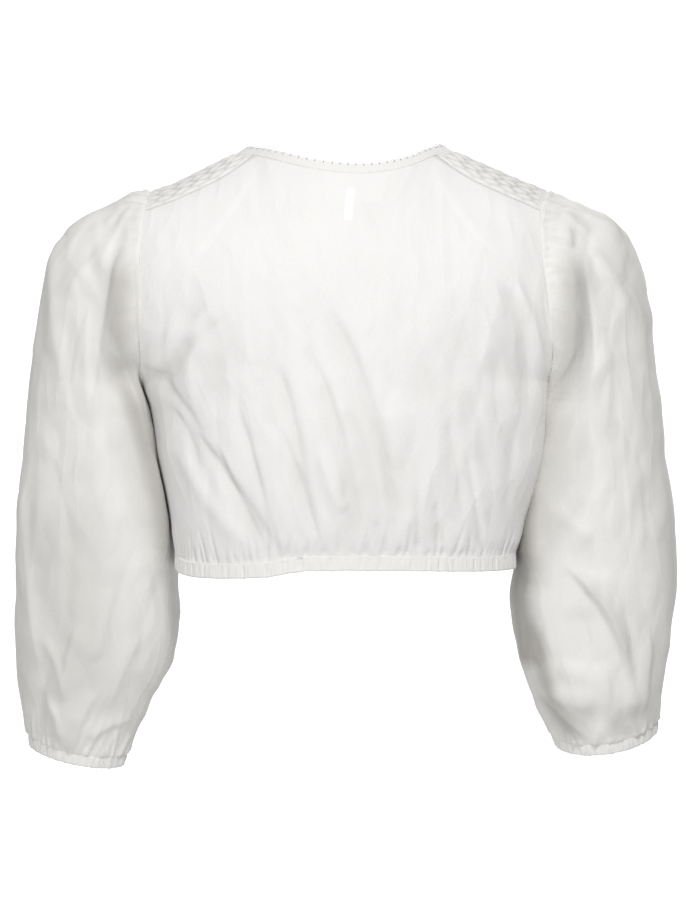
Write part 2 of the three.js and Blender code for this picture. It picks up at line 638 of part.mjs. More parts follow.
// A gathered band that carries on a ring of cloth: at(turn, down) gives its surface.
function band({ at, facing, gathers, height, gather }) {
  return wall({
    surface: { closed: true, at: (u, v) => at(u, CURVED_SEAM + v * height) },
    facing,
    us: evenly(2 * gathers, true),
    vs: [0, 1],
    thickness: BAND,
    base: (BAND - WALL) / 2,
    relief: (i) => (i % 2 === 0 ? gather : 0),
  });
}

// The hem: once round, back then front, at a distance below the panels' lower edges.
function hem(turn, down) {
  const isBack = turn % 1 < 0.5;
  const share = (turn % 1) * 2;
  const edge = isBack ? panel("back", share, 0) : panel("front", 2 - share, 0);
  edge.z -= down;
  return edge;
}

function hemCasing() {
  return band({
    at: hem,
    facing: -1,
    gathers: HEM_GATHERS,
    height: CASING_HEIGHT,
    gather: CASING_GATHER,
  });
}

function cuff(name) {
  const at = (turn, down) => {
    const edge = sleeve(name, turn, 1);
    const before = sleeve(name, turn, BEFORE_CUFF);
    const middle = (v) => sleeve(name, 0, v).lerp(sleeve(name, 0.5, v), 0.5);
    const direction = middle(1).sub(middle(BEFORE_CUFF)).normalize();
    direction.addScaledVector(edge.clone().sub(before).normalize(), CUFF_FLARE).normalize();
    return edge.addScaledVector(direction, down);
  };
  return band({
    at,
    facing: name === "left" ? 1 : -1,
    gathers: CUFF_GATHERS,
    height: CUFF_HEIGHT,
    gather: CUFF_GATHER,
  });
}

function neckBinding() {
  return wall({
    surface: { closed: true, at: (u, v) => neckline(u * NECKLINE.length, v * BINDING_WIDTH) },
    facing: -1,
    us: evenly(4 * NECKLINE.length, true),
    vs: [0, 1],
    thickness: BAND,
    base: (BAND - WALL) / 2,
  });
}

// The picot edge stands on the binding: a narrow strip whose upper edge goes up and down.
function neckPicot() {
  const at = (u, v) => {
    const column = Math.round(u * 2 * PICOTS);
    const tip = PICOT_BASE + (column % 2 === 0 ? PICOT_HEIGHT : 0);
    return neckline(u * NECKLINE.length, -SEAM - PICOT_GAP - (1 - v) * tip);
  };
  return wall({
    surface: { closed: true, at },
    facing: -1,
    us: evenly(2 * PICOTS, true),
    vs: [0, 1],
    thickness: PICOT_WALL,
    base: -(WALL - PICOT_WALL) / 2,
  });
}

// A blank label, or the tag on it, inside the back panel.
function label({ left, right, bottom, top, layer }) {
  const depth = WALL + SEAM + layer * (LABEL_WALL + SEAM);
  return wall({
    surface: { at: (u, v) => panel("back", u, v) },
    facing: 1,
    us: evenly(BACK_COLUMNS).slice(left, right + 1),
    vs: panelRows(BACK_ROWS).slice(bottom, top + 1),
    thickness: LABEL_WALL,
    base: -depth,
  });
}

const blouse = new THREE.Group();

function add(name, geometry, color) {
  geometry.computeVertexNormals();
  const material = new THREE.MeshStandardMaterial({ color, roughness: 0.9, metalness: 0 });
  const mesh = new THREE.Mesh(geometry, material);
  mesh.name = name;
  blouse.add(mesh);
}

for (const faceName of Object.keys(FACES)) add(faceName, bodyPanel(faceName), COLORS.cloth);
for (const name of Object.keys(SIDES)) {
  add(`shoulder_${name}`, shoulderPiece(name), COLORS.cloth);
  add(`sleeve_${name}`, sleevePiece(name), COLORS.cloth);
  add(`cuff_${name}`, cuff(name), COLORS.band);
}
add("hem_casing", hemCasing(), COLORS.band);
add("neck_binding", neckBinding(), COLORS.band);
add("neck_picot", neckPicot(), COLORS.band);
for (const [name, place] of Object.entries(LABELS)) add(name, label(place), COLORS.label);

export default blouse;
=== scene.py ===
import math

import bpy
import numpy as np
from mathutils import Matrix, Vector

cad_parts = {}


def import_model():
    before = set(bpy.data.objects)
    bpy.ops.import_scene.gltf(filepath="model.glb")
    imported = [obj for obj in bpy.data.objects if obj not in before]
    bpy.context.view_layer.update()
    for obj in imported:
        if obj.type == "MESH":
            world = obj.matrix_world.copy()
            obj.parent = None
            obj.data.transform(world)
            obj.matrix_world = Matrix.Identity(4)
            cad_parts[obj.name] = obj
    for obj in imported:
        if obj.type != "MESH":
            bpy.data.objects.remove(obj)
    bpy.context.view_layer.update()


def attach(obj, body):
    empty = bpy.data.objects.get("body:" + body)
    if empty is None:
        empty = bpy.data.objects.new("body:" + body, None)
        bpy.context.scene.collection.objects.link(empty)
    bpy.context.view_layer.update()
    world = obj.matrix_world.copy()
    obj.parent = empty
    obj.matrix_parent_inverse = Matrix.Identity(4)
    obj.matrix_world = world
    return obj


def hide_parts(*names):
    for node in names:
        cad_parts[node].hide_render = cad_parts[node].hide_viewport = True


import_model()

MM = 0.001
BODY = "root"

# Thicknesses and widths, as in the solids
WALL = 1.4
SEAM = 0.3
CURVED_SEAM = 1
BINDING_WIDTH = 9
PICOT_GAP = 0.2
CASING_HEIGHT = 11
CUFF_HEIGHT = 8
LABEL_WALL = 1

# How far one piece is sewn under or over the next
BAND_TUCK = 1.2  # a panel or a sleeve under the band round its edge
SLEEVE_TUCK = 0.8  # a sleeve's head under the edge of the armhole
YOKE_LAP = 1.5  # a shoulder piece under the upper edges of the panels
YOKE_LAP_SINK = 0.5  # and how far it sinks there

# Thicknesses of the real cloth
CLOTH = 0.45
BAND_CLOTH = 1.6  # folded, with the elastic in it
BINDING_CLOTH = 1.7
RIBBON = 0.3
THREAD = 0.22  # radius of a stitch
CORD = 0.5  # radius of the picot edge's thread
LOOP = 0.45  # and of the thread of its loops
SHADOW_DOT = 0.5  # radius of the short dark threads below the picot edge, painted shadow dots for the shade in its loops

# Heights and shaping of the body
HEM_Z = -352
UNDERARM_Z = -196
BACK_NECK_Z = -3
FRONT_NECK_Z = -117
UNDERARM_SHARE = 0.47
ARMHOLE_SHARE = 0.2
FULLNESS = 0.86
SIDE_TURN = math.pi / 2
ARMHOLE_TURN = 1.22
TOP_SHARE = 7
EDGE_BLUR = 0.09  # the corners of the upper edge are softened over this share of the width
EDGE_SAMPLES = 7
EDGE_WINDOW = 1.1  # how much wider than that the samples' weights fade out
EDGE_SHARE = 60  # and are sharp only close to it
NECK_CENTRE_Y = 15
NECK_FLARE = 0.4
NECK_SIDE_FLARE = 1.3
NECK_SHARE = {"back": (0.35, 0.65), "front": (0.2, 0.8)}
YOKE_TURN = 1.13
YOKE_REACH = 45
SLEEVE_LENGTH = 480
SLEEVE_HEAD_SHARE = 12
SLEEVE_SPREAD = 20
SLEEVE_SPREAD_END = 1 / 12
CUFF_FLARE = 0.2
BEFORE_CUFF = 0.97
CLEARANCE = 2.5
CLEARANCE_ROOM = 20  # it grows to that over this distance below the underarm
SIDE_REACH = 1.5 * CASING_HEIGHT

# Repeats
PICOTS = 64
LOZENGES_ALONG = 6
LOZENGES_ACROSS = 8

SIDES = {"left": -1, "right": 1}
FACES = {"back": -1, "front": 1}
TURN = 2 * math.pi


def table(names, *rows):
    """A table's columns by name."""
    return {name: np.array(column, float) for name, column in zip(names.split(), zip(*rows))}


# How much lower than the front the gathered hem of the back hangs, by the share of its width.
HEM_DROP = table(
    "u drop",
    (0, 0),
    (0.16, 8.5),
    (0.34, 8.5),
    (0.43, 2.5),
    (0.8, 3),
    (1, 0),
)
DROP_SHARE = 4

# Neckline, the upper edge of its binding: once round, from the left shoulder by the back.
NECKLINE = np.array(
    [
        (-95, -2, 20.5), (-80, -22, 20.5), (-60, -40, 16.5), (-36, -53, 11), (-10, -60, 7),
        (14, -61, 5.5), (38, -54, 8), (58, -43, 13), (76, -25, 20.5), (91, -2, 22.5),
        (97, 25, 6), (90, 55, -30), (68, 80, -72), (36, 94, -99), (0, 98, -108),
        (-36, 94, -99), (-68, 80, -72), (-90, 55, -30), (-98, 25, 5),
    ],
    float,
)
NECK_ROWS = {"back": (1, 8), "front": (18, 10)}
SHOULDER_ROW = {"left": 0, "right": 9}

# Armhole, once round from the shoulder by the back: distance from the middle on each side.
ARMHOLE = table(
    "y z left right",
    (2, -18.5, 181, 186),
    (-38, -36, 185, 178),
    (-55, -75, 190, 179),
    (-60, -115, 190, 184),
    (-50, -155, 191, 189),
    (-28, -184, 192, 190),
    (0, UNDERARM_Z, 188, 188),
    (26, -186, 188, 188),
    (45, -155, 184, 184),
    (53, -115, 179, 179),
    (54, -77, 178, 178),
    (43, -43, 179, 180),
)
ARMHOLE_ROWS = len(ARMHOLE["y"])
UNDERARM_ROW = 6
ROWS_TO_YOKE = 5

SIDE_SEAM = table(
    "z left right",
    (HEM_Z, 158, 155),
    (-315, 163, 166),
    (-276, 171, 179),
    (-245, 176, 185),
    (-215, 181, 188),
    (UNDERARM_Z, 188, 188),
)
DEPTHS = {
    "back": table(
        "z depth",
        (-355, 92), (-330, 101), (-300, 108), (-240, 114), (-180, 114),
        (-120, 110), (-60, 98), (-20, 78), (0, 64),
    ),
    "front": table(
        "z depth",
        (-355, 94), (-330, 104), (-290, 116), (-240, 124), (-190, 125), (-150, 116),
        (FRONT_NECK_Z, 101),
    ),
}

# Shoulder pieces: sections from the neck to the sleeve, over the ridge of the shoulder.
YOKE_COLUMNS = "ridgeX ridgeY ridgeZ backX backY backZ frontX frontY frontZ"
YOKE = {
    "left": table(
        YOKE_COLUMNS,
        (104, -1, 17, 87, -25, 14, 106, 26, 0),
        (121, 0, 8, 110, -35, -3, 124, 38, -15),
        (140, 1, -2, 135, -41, -16, 142, 44, -26),
        (160, 2, -12, 160, -42, -27, 160, 46, -35),
        (181, 2, -18.5, 185, -38, -36, 179, 43, -43),
    ),
    "right": table(
        YOKE_COLUMNS,
        (100, -1, 19, 83, -28, 14, 105, 26, 1),
        (119, 0, 10, 107, -36, -3, 124, 38, -15),
        (141, 1, 0, 130, -41, -15, 142, 44, -26),
        (163, 2, -10, 153, -41, -25, 161, 46, -35),
        (186, 2, -18.5, 178, -38, -36, 180, 43, -43),
    ),
}

# Sleeves: a ring for each row, through its outer and its inner point, with its middle at y.
SLEEVE_COLUMNS = "outX outZ inX inZ y depth lean"
SLEEVE = {
    "left": table(
        SLEEVE_COLUMNS,
        (181, -18.5, 188, -196, -3, 58, 0),
        (203, -23, 190, -205, 7, 64, 0),
        (234, -37.5, 184, -216, 19, 70, 0),
        (262, -58, 177, -230, 29, 74, 0),
        (276, -86, 171, -248, 35, 76, 0),
        (284, -124, 166, -273, 39, 77, 0),
        (291, -175, 162, -304, 43, 77, 0),
        (297, -228, 158, -336, 46, 76, 0.02),
        (302, -282, 156, -367, 49, 75, 0.04),
        (305, -336, 155, -398, 51, 74, 0.07),
        (307, -388, 158, -426, 52, 72, 0.1),
        (307, -432, 165, -454, 53, 67, 0.14),
        (305, -468, 178, -481, 55, 60, 0.18),
        (300, -496, 192, -510, 57, 51, 0.22),
        (293, -518, 205, -536, 59, 41, 0.25),
    ),
    "right": table(
        SLEEVE_COLUMNS,
        (186, -18.5, 188, -196, -3, 58, 0),
        (203, -25, 190, -205, 7, 64, 0),
        (234, -37.5, 184, -216, 19, 70, 0),
        (259, -58, 178, -230, 29, 74, 0),
        (271, -86, 173, -248, 35, 76, 0),
        (278, -124, 168, -273, 39, 77, 0),
        (285, -175, 162, -304, 43, 77, 0.02),
        (291, -228, 157, -334, 46, 76, 0.04),
        (297, -282, 154, -364, 49, 75, 0.08),
        (304, -336, 152, -392, 51, 74, 0.12),
        (304.5, -384, 154, -420, 52, 71, 0.18),
        (300, -426, 160, -447, 53, 66, 0.25),
        (295, -461, 169, -473, 55, 59, 0.32),
        (290, -486, 179, -496, 57, 50, 0.4),
        (286, -503, 190, -516, 59, 41, 0.44),
    ),
}

# Folds, as seen from behind: a curve through three points (x, z), its half width, and its height,
# negative for a trough. steep says how much steeper its right side is than its left (seen along the
# curve, which runs downwards); where it is negative the left side is the steep one, at 0 it is soft.
FOLD_COLUMNS = "x0 z0 x1 z1 x2 z2 width height steep"
BACK_FOLDS = table(
    FOLD_COLUMNS,
    # The fan that rises from the gathered hem to the left
    (-18, -126, 21, -211, 49, -339, 9, -3.4, 0.7),
    (-33, -168, -5, -245, 14, -350, 7, -2.8, 0.7),
    (-64, -178, -47, -236, -30, -344, 7, -2.0, 0.7),
    (-30, -245, -13, -293, -2, -313, 6, 1.8, 0),
    (-146, -231, -104, -287, -62, -352, 7, -2.8, 0.7),
    (-158, -249, -129, -299, -86, -352, 7, 1.6, 0),
    (-120, -250, -98, -300, -72, -350, 3.5, -1.6, 0.7),
    (-100, -212, -86, -262, -74, -306, 3, -1.2, 0.7),
    (-60, -235, -40, -290, -22, -350, 3.5, -1.5, 0.7),
    (-20, -232, -2, -290, 6, -346, 3, -1.4, 0.7),
    (18, -216, 38, -275, 46, -336, 3, -1.2, 0.7),
    (-92, -226, -82, -280, -70, -330, 6, -1.6, 0.7),
    (-8, -200, 18, -262, 32, -340, 6, -1.4, 0.7),
    # The right side, under the shoulder blade
    (106, -192, 122, -238, 132, -292, 10, -1.7, 0.3),
    (110, -259, 120, -316, 125, -350, 4, -2.4, 0.7),
    (64, -287, 66, -327, 64, -352, 3.5, -2.4, 0.7),
    (82, -302, 84, -324, 86, -346, 3.5, -1.8, 0.7),
    (28, -318, 29, -335, 29, -352, 3, -1.6, 0.7),
    (92, -226, 100, -268, 106, -330, 7, -1.5, 0.7),
    # The armholes' pulls
    (132, -99, 163, -149, 163, -231, 8, -2.6, 0.7),
    (148, -92, 172, -150, 176, -200, 6, 2.4, 0),
    (-149, -129, -170, -168, -178, -184, 8, 3.0, 0),
    (-126, -122, -160, -156, -184, -200, 9, -2.4, 0.7),
    (-112, -134, -148, -166, -180, -206, 8, -1.8, 0.7),
    (-140, -150, -158, -176, -170, -206, 7, -2.4, 0),
    (-174, -190, -150, -214, -128, -252, 6, -1.8, 0.7),
    (-166, -214, -146, -240, -134, -280, 5, -1.5, 0.7),
    (158, -222, 152, -262, 144, -318, 6, -1.6, 0.3),
    # The broad hollow below the right shoulder blade
    (50, -200, 104, -204, 168, -214, 34, -1.4, 0),
    (-120, -60, -60, -90, 10, -96, 40, 2.0, 0),
)
FRONT_FOLDS = table(
    FOLD_COLUMNS,
    (60, -150, 44, -230, 40, -345, 9, -3.6, 0.7),
    (-66, -160, -50, -240, -44, -345, 9, -3.6, -0.7),
    (4, -180, -3, -260, -6, -345, 8, -2.8, 0.7),
    (120, -210, 104, -270, 92, -345, 8, -3.2, 0.7),
    (-124, -215, -108, -275, -98, -345, 8, -3.2, -0.7),
    (88, -232, 74, -286, 66, -350, 5, -1.8, 0.7),
    (-90, -226, -80, -290, -72, -350, 5, -1.8, 0.7),
    (26, -262, 22, -310, 20, -350, 4, -1.8, 0.7),
    (-24, -270, -26, -312, -25, -350, 4, -1.8, 0.7),
    (150, -160, 158, -200, 160, -250, 7, -2.6, 0.7),
    (-150, -160, -158, -200, -160, -250, 7, -2.6, -0.7),
    (140, -240, 134, -290, 126, -346, 5, -2.0, 0.7),
    (-142, -244, -136, -292, -128, -346, 5, -2.0, 0.7),
)
SLEEVE_FOLDS = {
    "left": table(
        FOLD_COLUMNS,
        # The gathered head
        (-183, -22, -238, -44, -259, -59, 6, -2.6, 0.7),
        (-203, -33, -212, -40, -222, -50, 4, -1.8, 0.7),
        (-192, -30, -214, -60, -226, -92, 5, -1.8, 0.7),
        (-224, -36, -246, -56, -258, -84, 5, -1.6, 0.7),
        # Long folds of the upper part
        (-258, -62, -270, -102, -254, -230, 9, -3.4, 0.7),
        (-224, -74, -245, -94, -252, -118, 7, -1.8, 0.7),
        (-202, -64, -206, -130, -206, -192, 19, -9.0, 0),
        (-206, -62, -222, -138, -236, -226, 7, 3.0, 0.7),
        (-236, -120, -240, -170, -236, -226, 8, -1.8, 0.7),
        (-282, -110, -285, -170, -280, -240, 7, -1.6, 0),
        # The pull from the underarm down to the inner side
        (-203, -180, -187, -262, -167, -374, 11, -10.0, 0.7),
        (-228, -190, -232, -250, -222, -330, 9, -1.8, 0.7),
        (-186, -250, -176, -310, -164, -360, 6, -2.2, 0.7),
        # Above the cuff
        (-279, -425, -265, -457, -260, -488, 6, -3.0, 0.7),
        (-246, -415, -256, -447, -260, -486, 6, -2.6, -0.7),
        (-277, -482, -266, -504, -265, -524, 5, -2.4, 0.7),
        (-225, -474, -244, -504, -250, -534, 6, -2.6, 0.7),
        (-197, -504, -222, -512, -240, -524, 5, -2.2, 0.7),
        (-299, -274, -294, -366, -279, -478, 9, -2.8, 0.7),
        (-262, -300, -262, -350, -268, -410, 8, -1.5, 0.7),
        (-214, -380, -224, -420, -236, -452, 8, -1.8, 0.7),
        (-190, -430, -208, -462, -222, -500, 7, -2.0, 0.7),
    ),
    "right": table(
        FOLD_COLUMNS,
        # The gathered head
        (194, -21, 227, -43, 259, -63, 6, -2.6, -0.7),
        (196, -37, 210, -49, 224, -57, 4, -2.0, -0.7),
        (200, -53, 203, -62, 202, -74, 5, -2.4, 0.7),
        (232, -40, 248, -60, 258, -86, 5, -1.6, 0.7),
        # Long folds of the upper part
        (220, -71, 239, -92, 270, -149, 8, -3.2, -0.7),
        (198, -70, 203, -140, 198, -216, 14, -12.0, -0.3),
        (214, -88, 224, -140, 226, -190, 5, 2.0, 0.5),
        (262, -110, 274, -160, 276, -220, 7, -1.8, 0.7),
        (236, -150, 240, -200, 232, -250, 8, -1.6, 0.7),
        # The elbow
        (192, -304, 209, -327, 227, -338, 7, -2.6, 0.7),
        (195, -190, 184, -268, 164, -372, 13, -12.0, -0.6),
        (262, -250, 270, -310, 268, -370, 8, -1.6, 0.7),
        # Above the cuff
        (200, -363, 242, -413, 264, -488, 6, -5.5, -0.9),
        (184, -474, 206, -487, 232, -488, 9, -4.5, 0),
        (178, -474, 199, -499, 225, -524, 5, -2.4, 0.7),
        (278, -417, 274, -467, 268, -502, 7, -3.2, 0.7),
        (214, -400, 214, -432, 208, -462, 20, 4.0, 0),
        (236, -450, 240, -474, 240, -500, 6, -2.0, 0.7),
        (252, -400, 262, -440, 262, -480, 6, 1.8, 0),
        (176, -380, 184, -420, 190, -456, 7, -2.2, 0.7),
    ),
}
FOLD_STRENGTH = 1.2
STEEP_SIDE = 0.6  # how much narrower a fold's steep side is
GENTLE_SIDE = 0.8  # and how much wider the other side
ROUND_LOSS = 0.7  # how much sharper its crest or valley gets
FOLD_SAMPLES = 24
FOLD_REACH = 4  # half widths, past which a fold is not felt
FOLD_TAPER = 0.3
FOLD_START = 0.15  # how far up its taper a fold begins
FOLD_WIDTHS = (0.75, 1.25)  # at the start and at the end of its curve
FOLD_ROOM = 12
FOLD_EDGE = 1 / 36
FOLD_SIDE = 1 / 3

# Crumples: crisp shallow creases all over, in a few sizes, each the sum of a few waves
CRUMPLE_PITCHES = (66, 42, 26)
CRUMPLE_HEIGHTS = (1.1, 0.7, 0.4)
CRUMPLE_WAVES = 5
CRUMPLE_STRETCH = (0.8, 1.32)  # from the shortest wave of a pitch to the longest
CRUMPLE_LENGTHEN = 0.5  # the creases are longer down the cloth than across
CRUMPLE_MIDDLE = 0.6  # how much of a crease stands above the plain cloth
CRUMPLE_SPAN = 2.2  # how high the waves of a pitch add up
UPPER_CRUMPLE = 0.4  # the cloth is less creased where the shoulders stretch it
SLEEVE_CRUMPLE = 1.3
CALM_Z = -50
CALM_REACH = 120
GOLDEN_ANGLE = 2.399  # from one wave's direction to the next
PHASE_STEP = 1.7
SEEDS = {"back": 1, "front": 2, "left": 4, "right": 7}

# Ripples of the shoulder pieces
RIPPLE_WAVES = 10
RIPPLE_LENGTH = 16
RIPPLE_STEP = 7.3  # each wave is that much longer than the one before
RIPPLE_HEIGHTS = (0.035, 0.045, 0.055)
RIPPLE_SEED = 5

# Gathers from an edge into the cloth: pitch, depth and reach of the deep and of the fine creases
HEM_GATHERS = ((8, 3.4, 46), (3.4, 1.36, 15))
HEAD_GATHERS = ((9, 3.4, 66), (5.5, 1.36, 22))
CUFF_GATHERS = ((9, 3.6, 56), (4, 1.44, 20))
HEM_SEEDS = {"back": (11, 13), "front": (12, 13)}
HEAD_SEEDS = {"left": (4, 5), "right": (7, 8)}
CUFF_SEEDS = {"left": (6, 7), "right": (9, 10)}
PANEL_WIDTH = 420
HEAD_ROUND = 540
CUFF_ROUND = 270
CREASE_SHIFT = 0.4  # how far a crease may lie from its place, in pitches
CREASE_LENGTHS = (0.25, 1.2)
CREASE_WIDTHS = (0.16, 0.36)
CREASE_LEAN = 0.22
CREASE_DEPTHS = (0.3, 1)
CREASE_ROUND = 1.3  # 1 is a sharp valley and 2 a round one
GATHER_START = 0.15  # share of their depth that the hem's gathers have at the casing
GATHER_RISE = 5
SLEEVE_GATHER_START = 0.1
SLEEVE_GATHER_RISE = 6
HEAD_GATHERED = (-0.3, 0.6)  # cosines of the turn between which the head's gathers set in

# Waves of an uneven edge: how much they shift its gathers, their number and their step by seed
UNEVEN_SHIFTS = ((0.9, 3, 0.37), (0.7, 8, 0.71), (0.5, 13, 0.13))
UNEVEN_SIZES = ((7, 0.29), (5, 0.53))
UNEVEN_SIZE = 0.32

# Small puckers along the armhole and side seams
PUCKERS = 14
PUCKER_HEIGHT = 0.08
PUCKER_COLUMNS = 9
PUCKER_DRIFTS = 3
PUCKER_DRIFT = 2
PUCKER_END = 1 / 12

# Smocked puffs
LOZENGE_RISE = 1.7
PUFF_POINT = 0.7
PUFF_WAVER = 0.16
PUFF_WAVES = (19, 7)
PUFF_DRIFT = 0.4
PUFF_STEP = 2.7
PUFF_ENDS = 1 / 14
PUFF_SIDES = (1.15, 5 / 11)  # where the puffs end across the shoulder, and over what width

# Casings over elastic: columns and rows of the grid, height, gathers round and their depth
BANDS = {
    "hem_casing": (1500, 9, CASING_HEIGHT, 110, 1.3),
    "cuff": (600, 8, CUFF_HEIGHT, 44, 1.5),
}
BAND_REACHES = (4, 3)  # of the deep and the fine gathers, in heights
BAND_SEEDS = (21, 22)
BAND_FINE_PITCH = 3.2
BAND_FINE_DEPTH = 0.6
BAND_EDGE_DEPTH = 0.08  # share of their depth that its gathers have at its edges
BAND_WAVER = 0.7  # how much further under the cloth its upper edge reaches in places
BAND_WAVER_SEED = 5
BAND_RISE = 0.65
BAND_PUFF = 0.3
BAND_ROUND = 0.6  # how soon a band is full, away from its edges
STITCH_SINK = 0.2
STITCH_ROW = 0.12  # place of the seam across a casing
STITCH_WIDTH = 0.06
STITCH_LENGTH = 2.6
STITCH_PITCH = 3.4
CASING_STITCHES = 1  # the row of its grid that the stitches run along

# Neck binding and picot edge
BINDING_GRID = (1200, 12)
BINDING_RISE = 0.12
BINDING_SEAM = 0.84  # place of the seam across the binding
BINDING_SEAM_WIDTH = 0.05
BINDING_STITCHES = 10
BINDING_WAVES = 120
BINDING_WAVE = 0.06
BINDING_SEED = 3
PICOT_POINTS = 13
PICOT_WIDTH = 0.42  # half a loop's width, in picots
PICOT_HEIGHT = 2.3
PICOT_ROUND = 2.4
PICOT_SEAT = 0.2
CORD_POINTS = 900
CORD_WAVE = 0.1
SHADOW_DOT_ROWS = 3

# Grids
PANEL_GRIDS = {"back": (300, 142), "front": (220, 112)}
ROWS_CLOSER = 1.08  # a panel's rows lie closer near the hem
SLEEVE_GRID = (260, 165)
YOKE_GRID = (132, 104)
LABEL_GRID = (19, 13)

# Painted shadow on the sleeves where a sleeve lies against the body and the body shades it, and
# broader painted shade over the lower left sleeve, on the right sleeve's outer side and above its
# cuff
SHADED = {
    "left": table(
        FOLD_COLUMNS,
        (-201, -70, -206, -140, -208, -210, 14, 0.6, 0),
        (-208, -190, -189, -262, -166, -384, 9, 0.75, 0),
        (-256, -280, -250, -400, -250, -520, 46, 0.34, 0),
    ),
    "right": table(
        FOLD_COLUMNS,
        (206, -84, 203, -160, 190, -250, 11, 0.5, 0),
        (192, -210, 176, -290, 160, -400, 12, 0.9, 0),
        (154, -330, 158, -410, 170, -460, 12, 1.0, 0),
        (172, -400, 188, -480, 222, -526, 8, 0.7, 0),
        (276, -470, 258, -500, 236, -512, 9, 0.35, 0),
        (292, -170, 304, -290, 304, -420, 13, 0.35, 0),
    ),
}
# Painted highlights: pale lines down the back from the neck towards the armholes, along the pulls of
# the cloth
PAINTED_HIGHLIGHTS = table(
    FOLD_COLUMNS,
    (-82, 4, -108, -40, -146, -88, 3.2, 1, 0),
    (78, 2, 104, -41, 141, -80, 3.2, 1, 0),
)
HIGHLIGHT_PAINT = 0.16
SHINE_LEAST = 0.01
# How dark the painted shade makes the cloth in a valley this deep, where a sleeve lies
# against the body, and between the puffs
VALLEY_DEPTH = 14
VALLEY_SHADE = 0.6
SLEEVE_SHADE = 0.9
SMOCKING_SHADE = 0.5
SHADED_SIDE = 3  # how soon that shade sets in from a sleeve's outer and inner side
# The blank labels inside the back neck: columns, rows and layer on a coarse grid of the panel
COARSE_COLUMNS = 60
COARSE_ROWS = 16
CLOSER_ENDS = 0.06
CLOSER_STEPS = 3
LABELS = {
    "neck_label": (28, 34, 14, 16, 0),
    "care_tag": (30, 31, 13, 15, 1),
}
LABEL_SHINE = {"neck_label": 0.08, "care_tag": 0.8}
LABEL_BLUR = 0.3
LABEL_ROOM = 0.1

# Weave and creases of the materials
COTTON = {"Roughness": 0.85, "Specular IOR Level": 0.25, "Sheen Roughness": 0.5}
RIDGED = {"noise_type": "RIDGED_MULTIFRACTAL", "Offset": 1, "Gain": 1}
WEAVE_SCALE = 150
WARP = (10, 0.9, 1)
WEFT = (0.9, 10, 1)
PLAIN = (1, 1, 1)
TONE_SCALE = 9
TONE_RANGE = (0.35, 0.65)
SLUB_HEIGHT = 0.0003
GRAIN_SCALE = 2600
GRAIN_HEIGHT = 0.0001
FACET_SCALE = 34
FACET_STRETCH = (1, 0.45, 1)
FACET_HEIGHT = 0.0006
PALE_SHOW_THROUGH_AND_HIGHLIGHT = (0.97, 0.97, 0.96, 1)  # where a label shines through, and the painted highlight lines on the back
PAINTED_SHADE = (0.4, 0.385, 0.36, 1)  # painted shade, deep in folds, where a sleeve lies against the body, and between the puffs

# Stage, in metres and watts
CENTRE = Vector((-1.8, 0, -265)) * MM  # middle of the picture
PICTURE_HEIGHT = 846.4 * MM
DISTANCE = 10
SENSOR = 36
FLOOR_Z = -1.45
FLOOR_RADIUS = 1.5
BACKDROP_RADIUS = 24
WORLD_LIGHT = 0.42
LIGHT_AIM = Vector((0, 0, -0.2))
LIGHTS = {
    "key": ((0.5, -2.4, 1.8), 1.0, 45),
    "fill": ((-0.9, -2.7, 0.3), 1.6, 24),
    "front": ((0.6, 2.8, 1.4), 2.0, 42),
}


def lerp(a, b, t):
    return a + (b - a) * t


def clamp(value, low=0.0, high=1.0):
    return np.clip(value, low, high)


def smooth(t):
    t = clamp(t)
    return t * t * (3 - 2 * t)


def vec(x, y, z):
    return np.stack(np.broadcast_arrays(x, y, z), axis=-1).astype(float)


def unit(v):
    return v / np.maximum(np.linalg.norm(v, axis=-1, keepdims=True), 1e-9)


def hermite(t, a, b, da, db):
    """A smooth curve from a to b that starts with slope da and ends with slope db."""
    return a + t * (da + t * (3 * (b - a) - 2 * da - db + t * (2 * (a - b) + da + db)))


def between(columns, place, key=None):
    """A table's columns at places between its rows: row numbers, or values of the column key."""
    count = len(next(iter(columns.values())))
    keys = columns[key] if key else np.arange(count, dtype=float)
    place = np.asarray(place, float)
    i = np.clip(np.searchsorted(keys, place, side="left") - 1, 0, count - 2)
    span = keys[i + 1] - keys[i]
    t = clamp((place - keys[i]) / span)
    low = np.maximum(np.arange(count) - 1, 0)
    high = np.minimum(np.arange(count) + 1, count - 1)
    values = {}
    for name, cells in columns.items():
        slopes = (cells[high] - cells[low]) / (keys[high] - keys[low])
        values[name] = hermite(t, cells[i], cells[i + 1], slopes[i] * span, slopes[i + 1] * span)
    return values


def around(points, row):
    """Points on a closed smooth curve through a table's rows; whole numbers give the rows."""
    count = len(points)
    row = np.mod(row, count)
    i = np.floor(row).astype(int)
    before, here, after, beyond = (points[(i + k) % count] for k in (-1, 0, 1, 2))
    return hermite((row - i)[..., None], here, after, (after - before) / 2, (beyond - here) / 2)


ARMHOLE_POINTS = {
    name: vec(side * ARMHOLE[name], ARMHOLE["y"], ARMHOLE["z"]) for name, side in SIDES.items()
}


def neckline(row, down):
    """The neckline's cloth at a distance down from the upper edge of the binding."""
    row, down = np.broadcast_arrays(np.asarray(row, float), np.asarray(down, float))
    edge = around(NECKLINE, row)
    out = unit(vec(edge[..., 0], edge[..., 1] - NECK_CENTRE_Y, 0))
    flare = NECK_FLARE + NECK_SIDE_FLARE * np.abs(out[..., :1]) ** 3
    return edge + unit(out * flare - np.array([0.0, 0.0, 1.0])) * down[..., None]


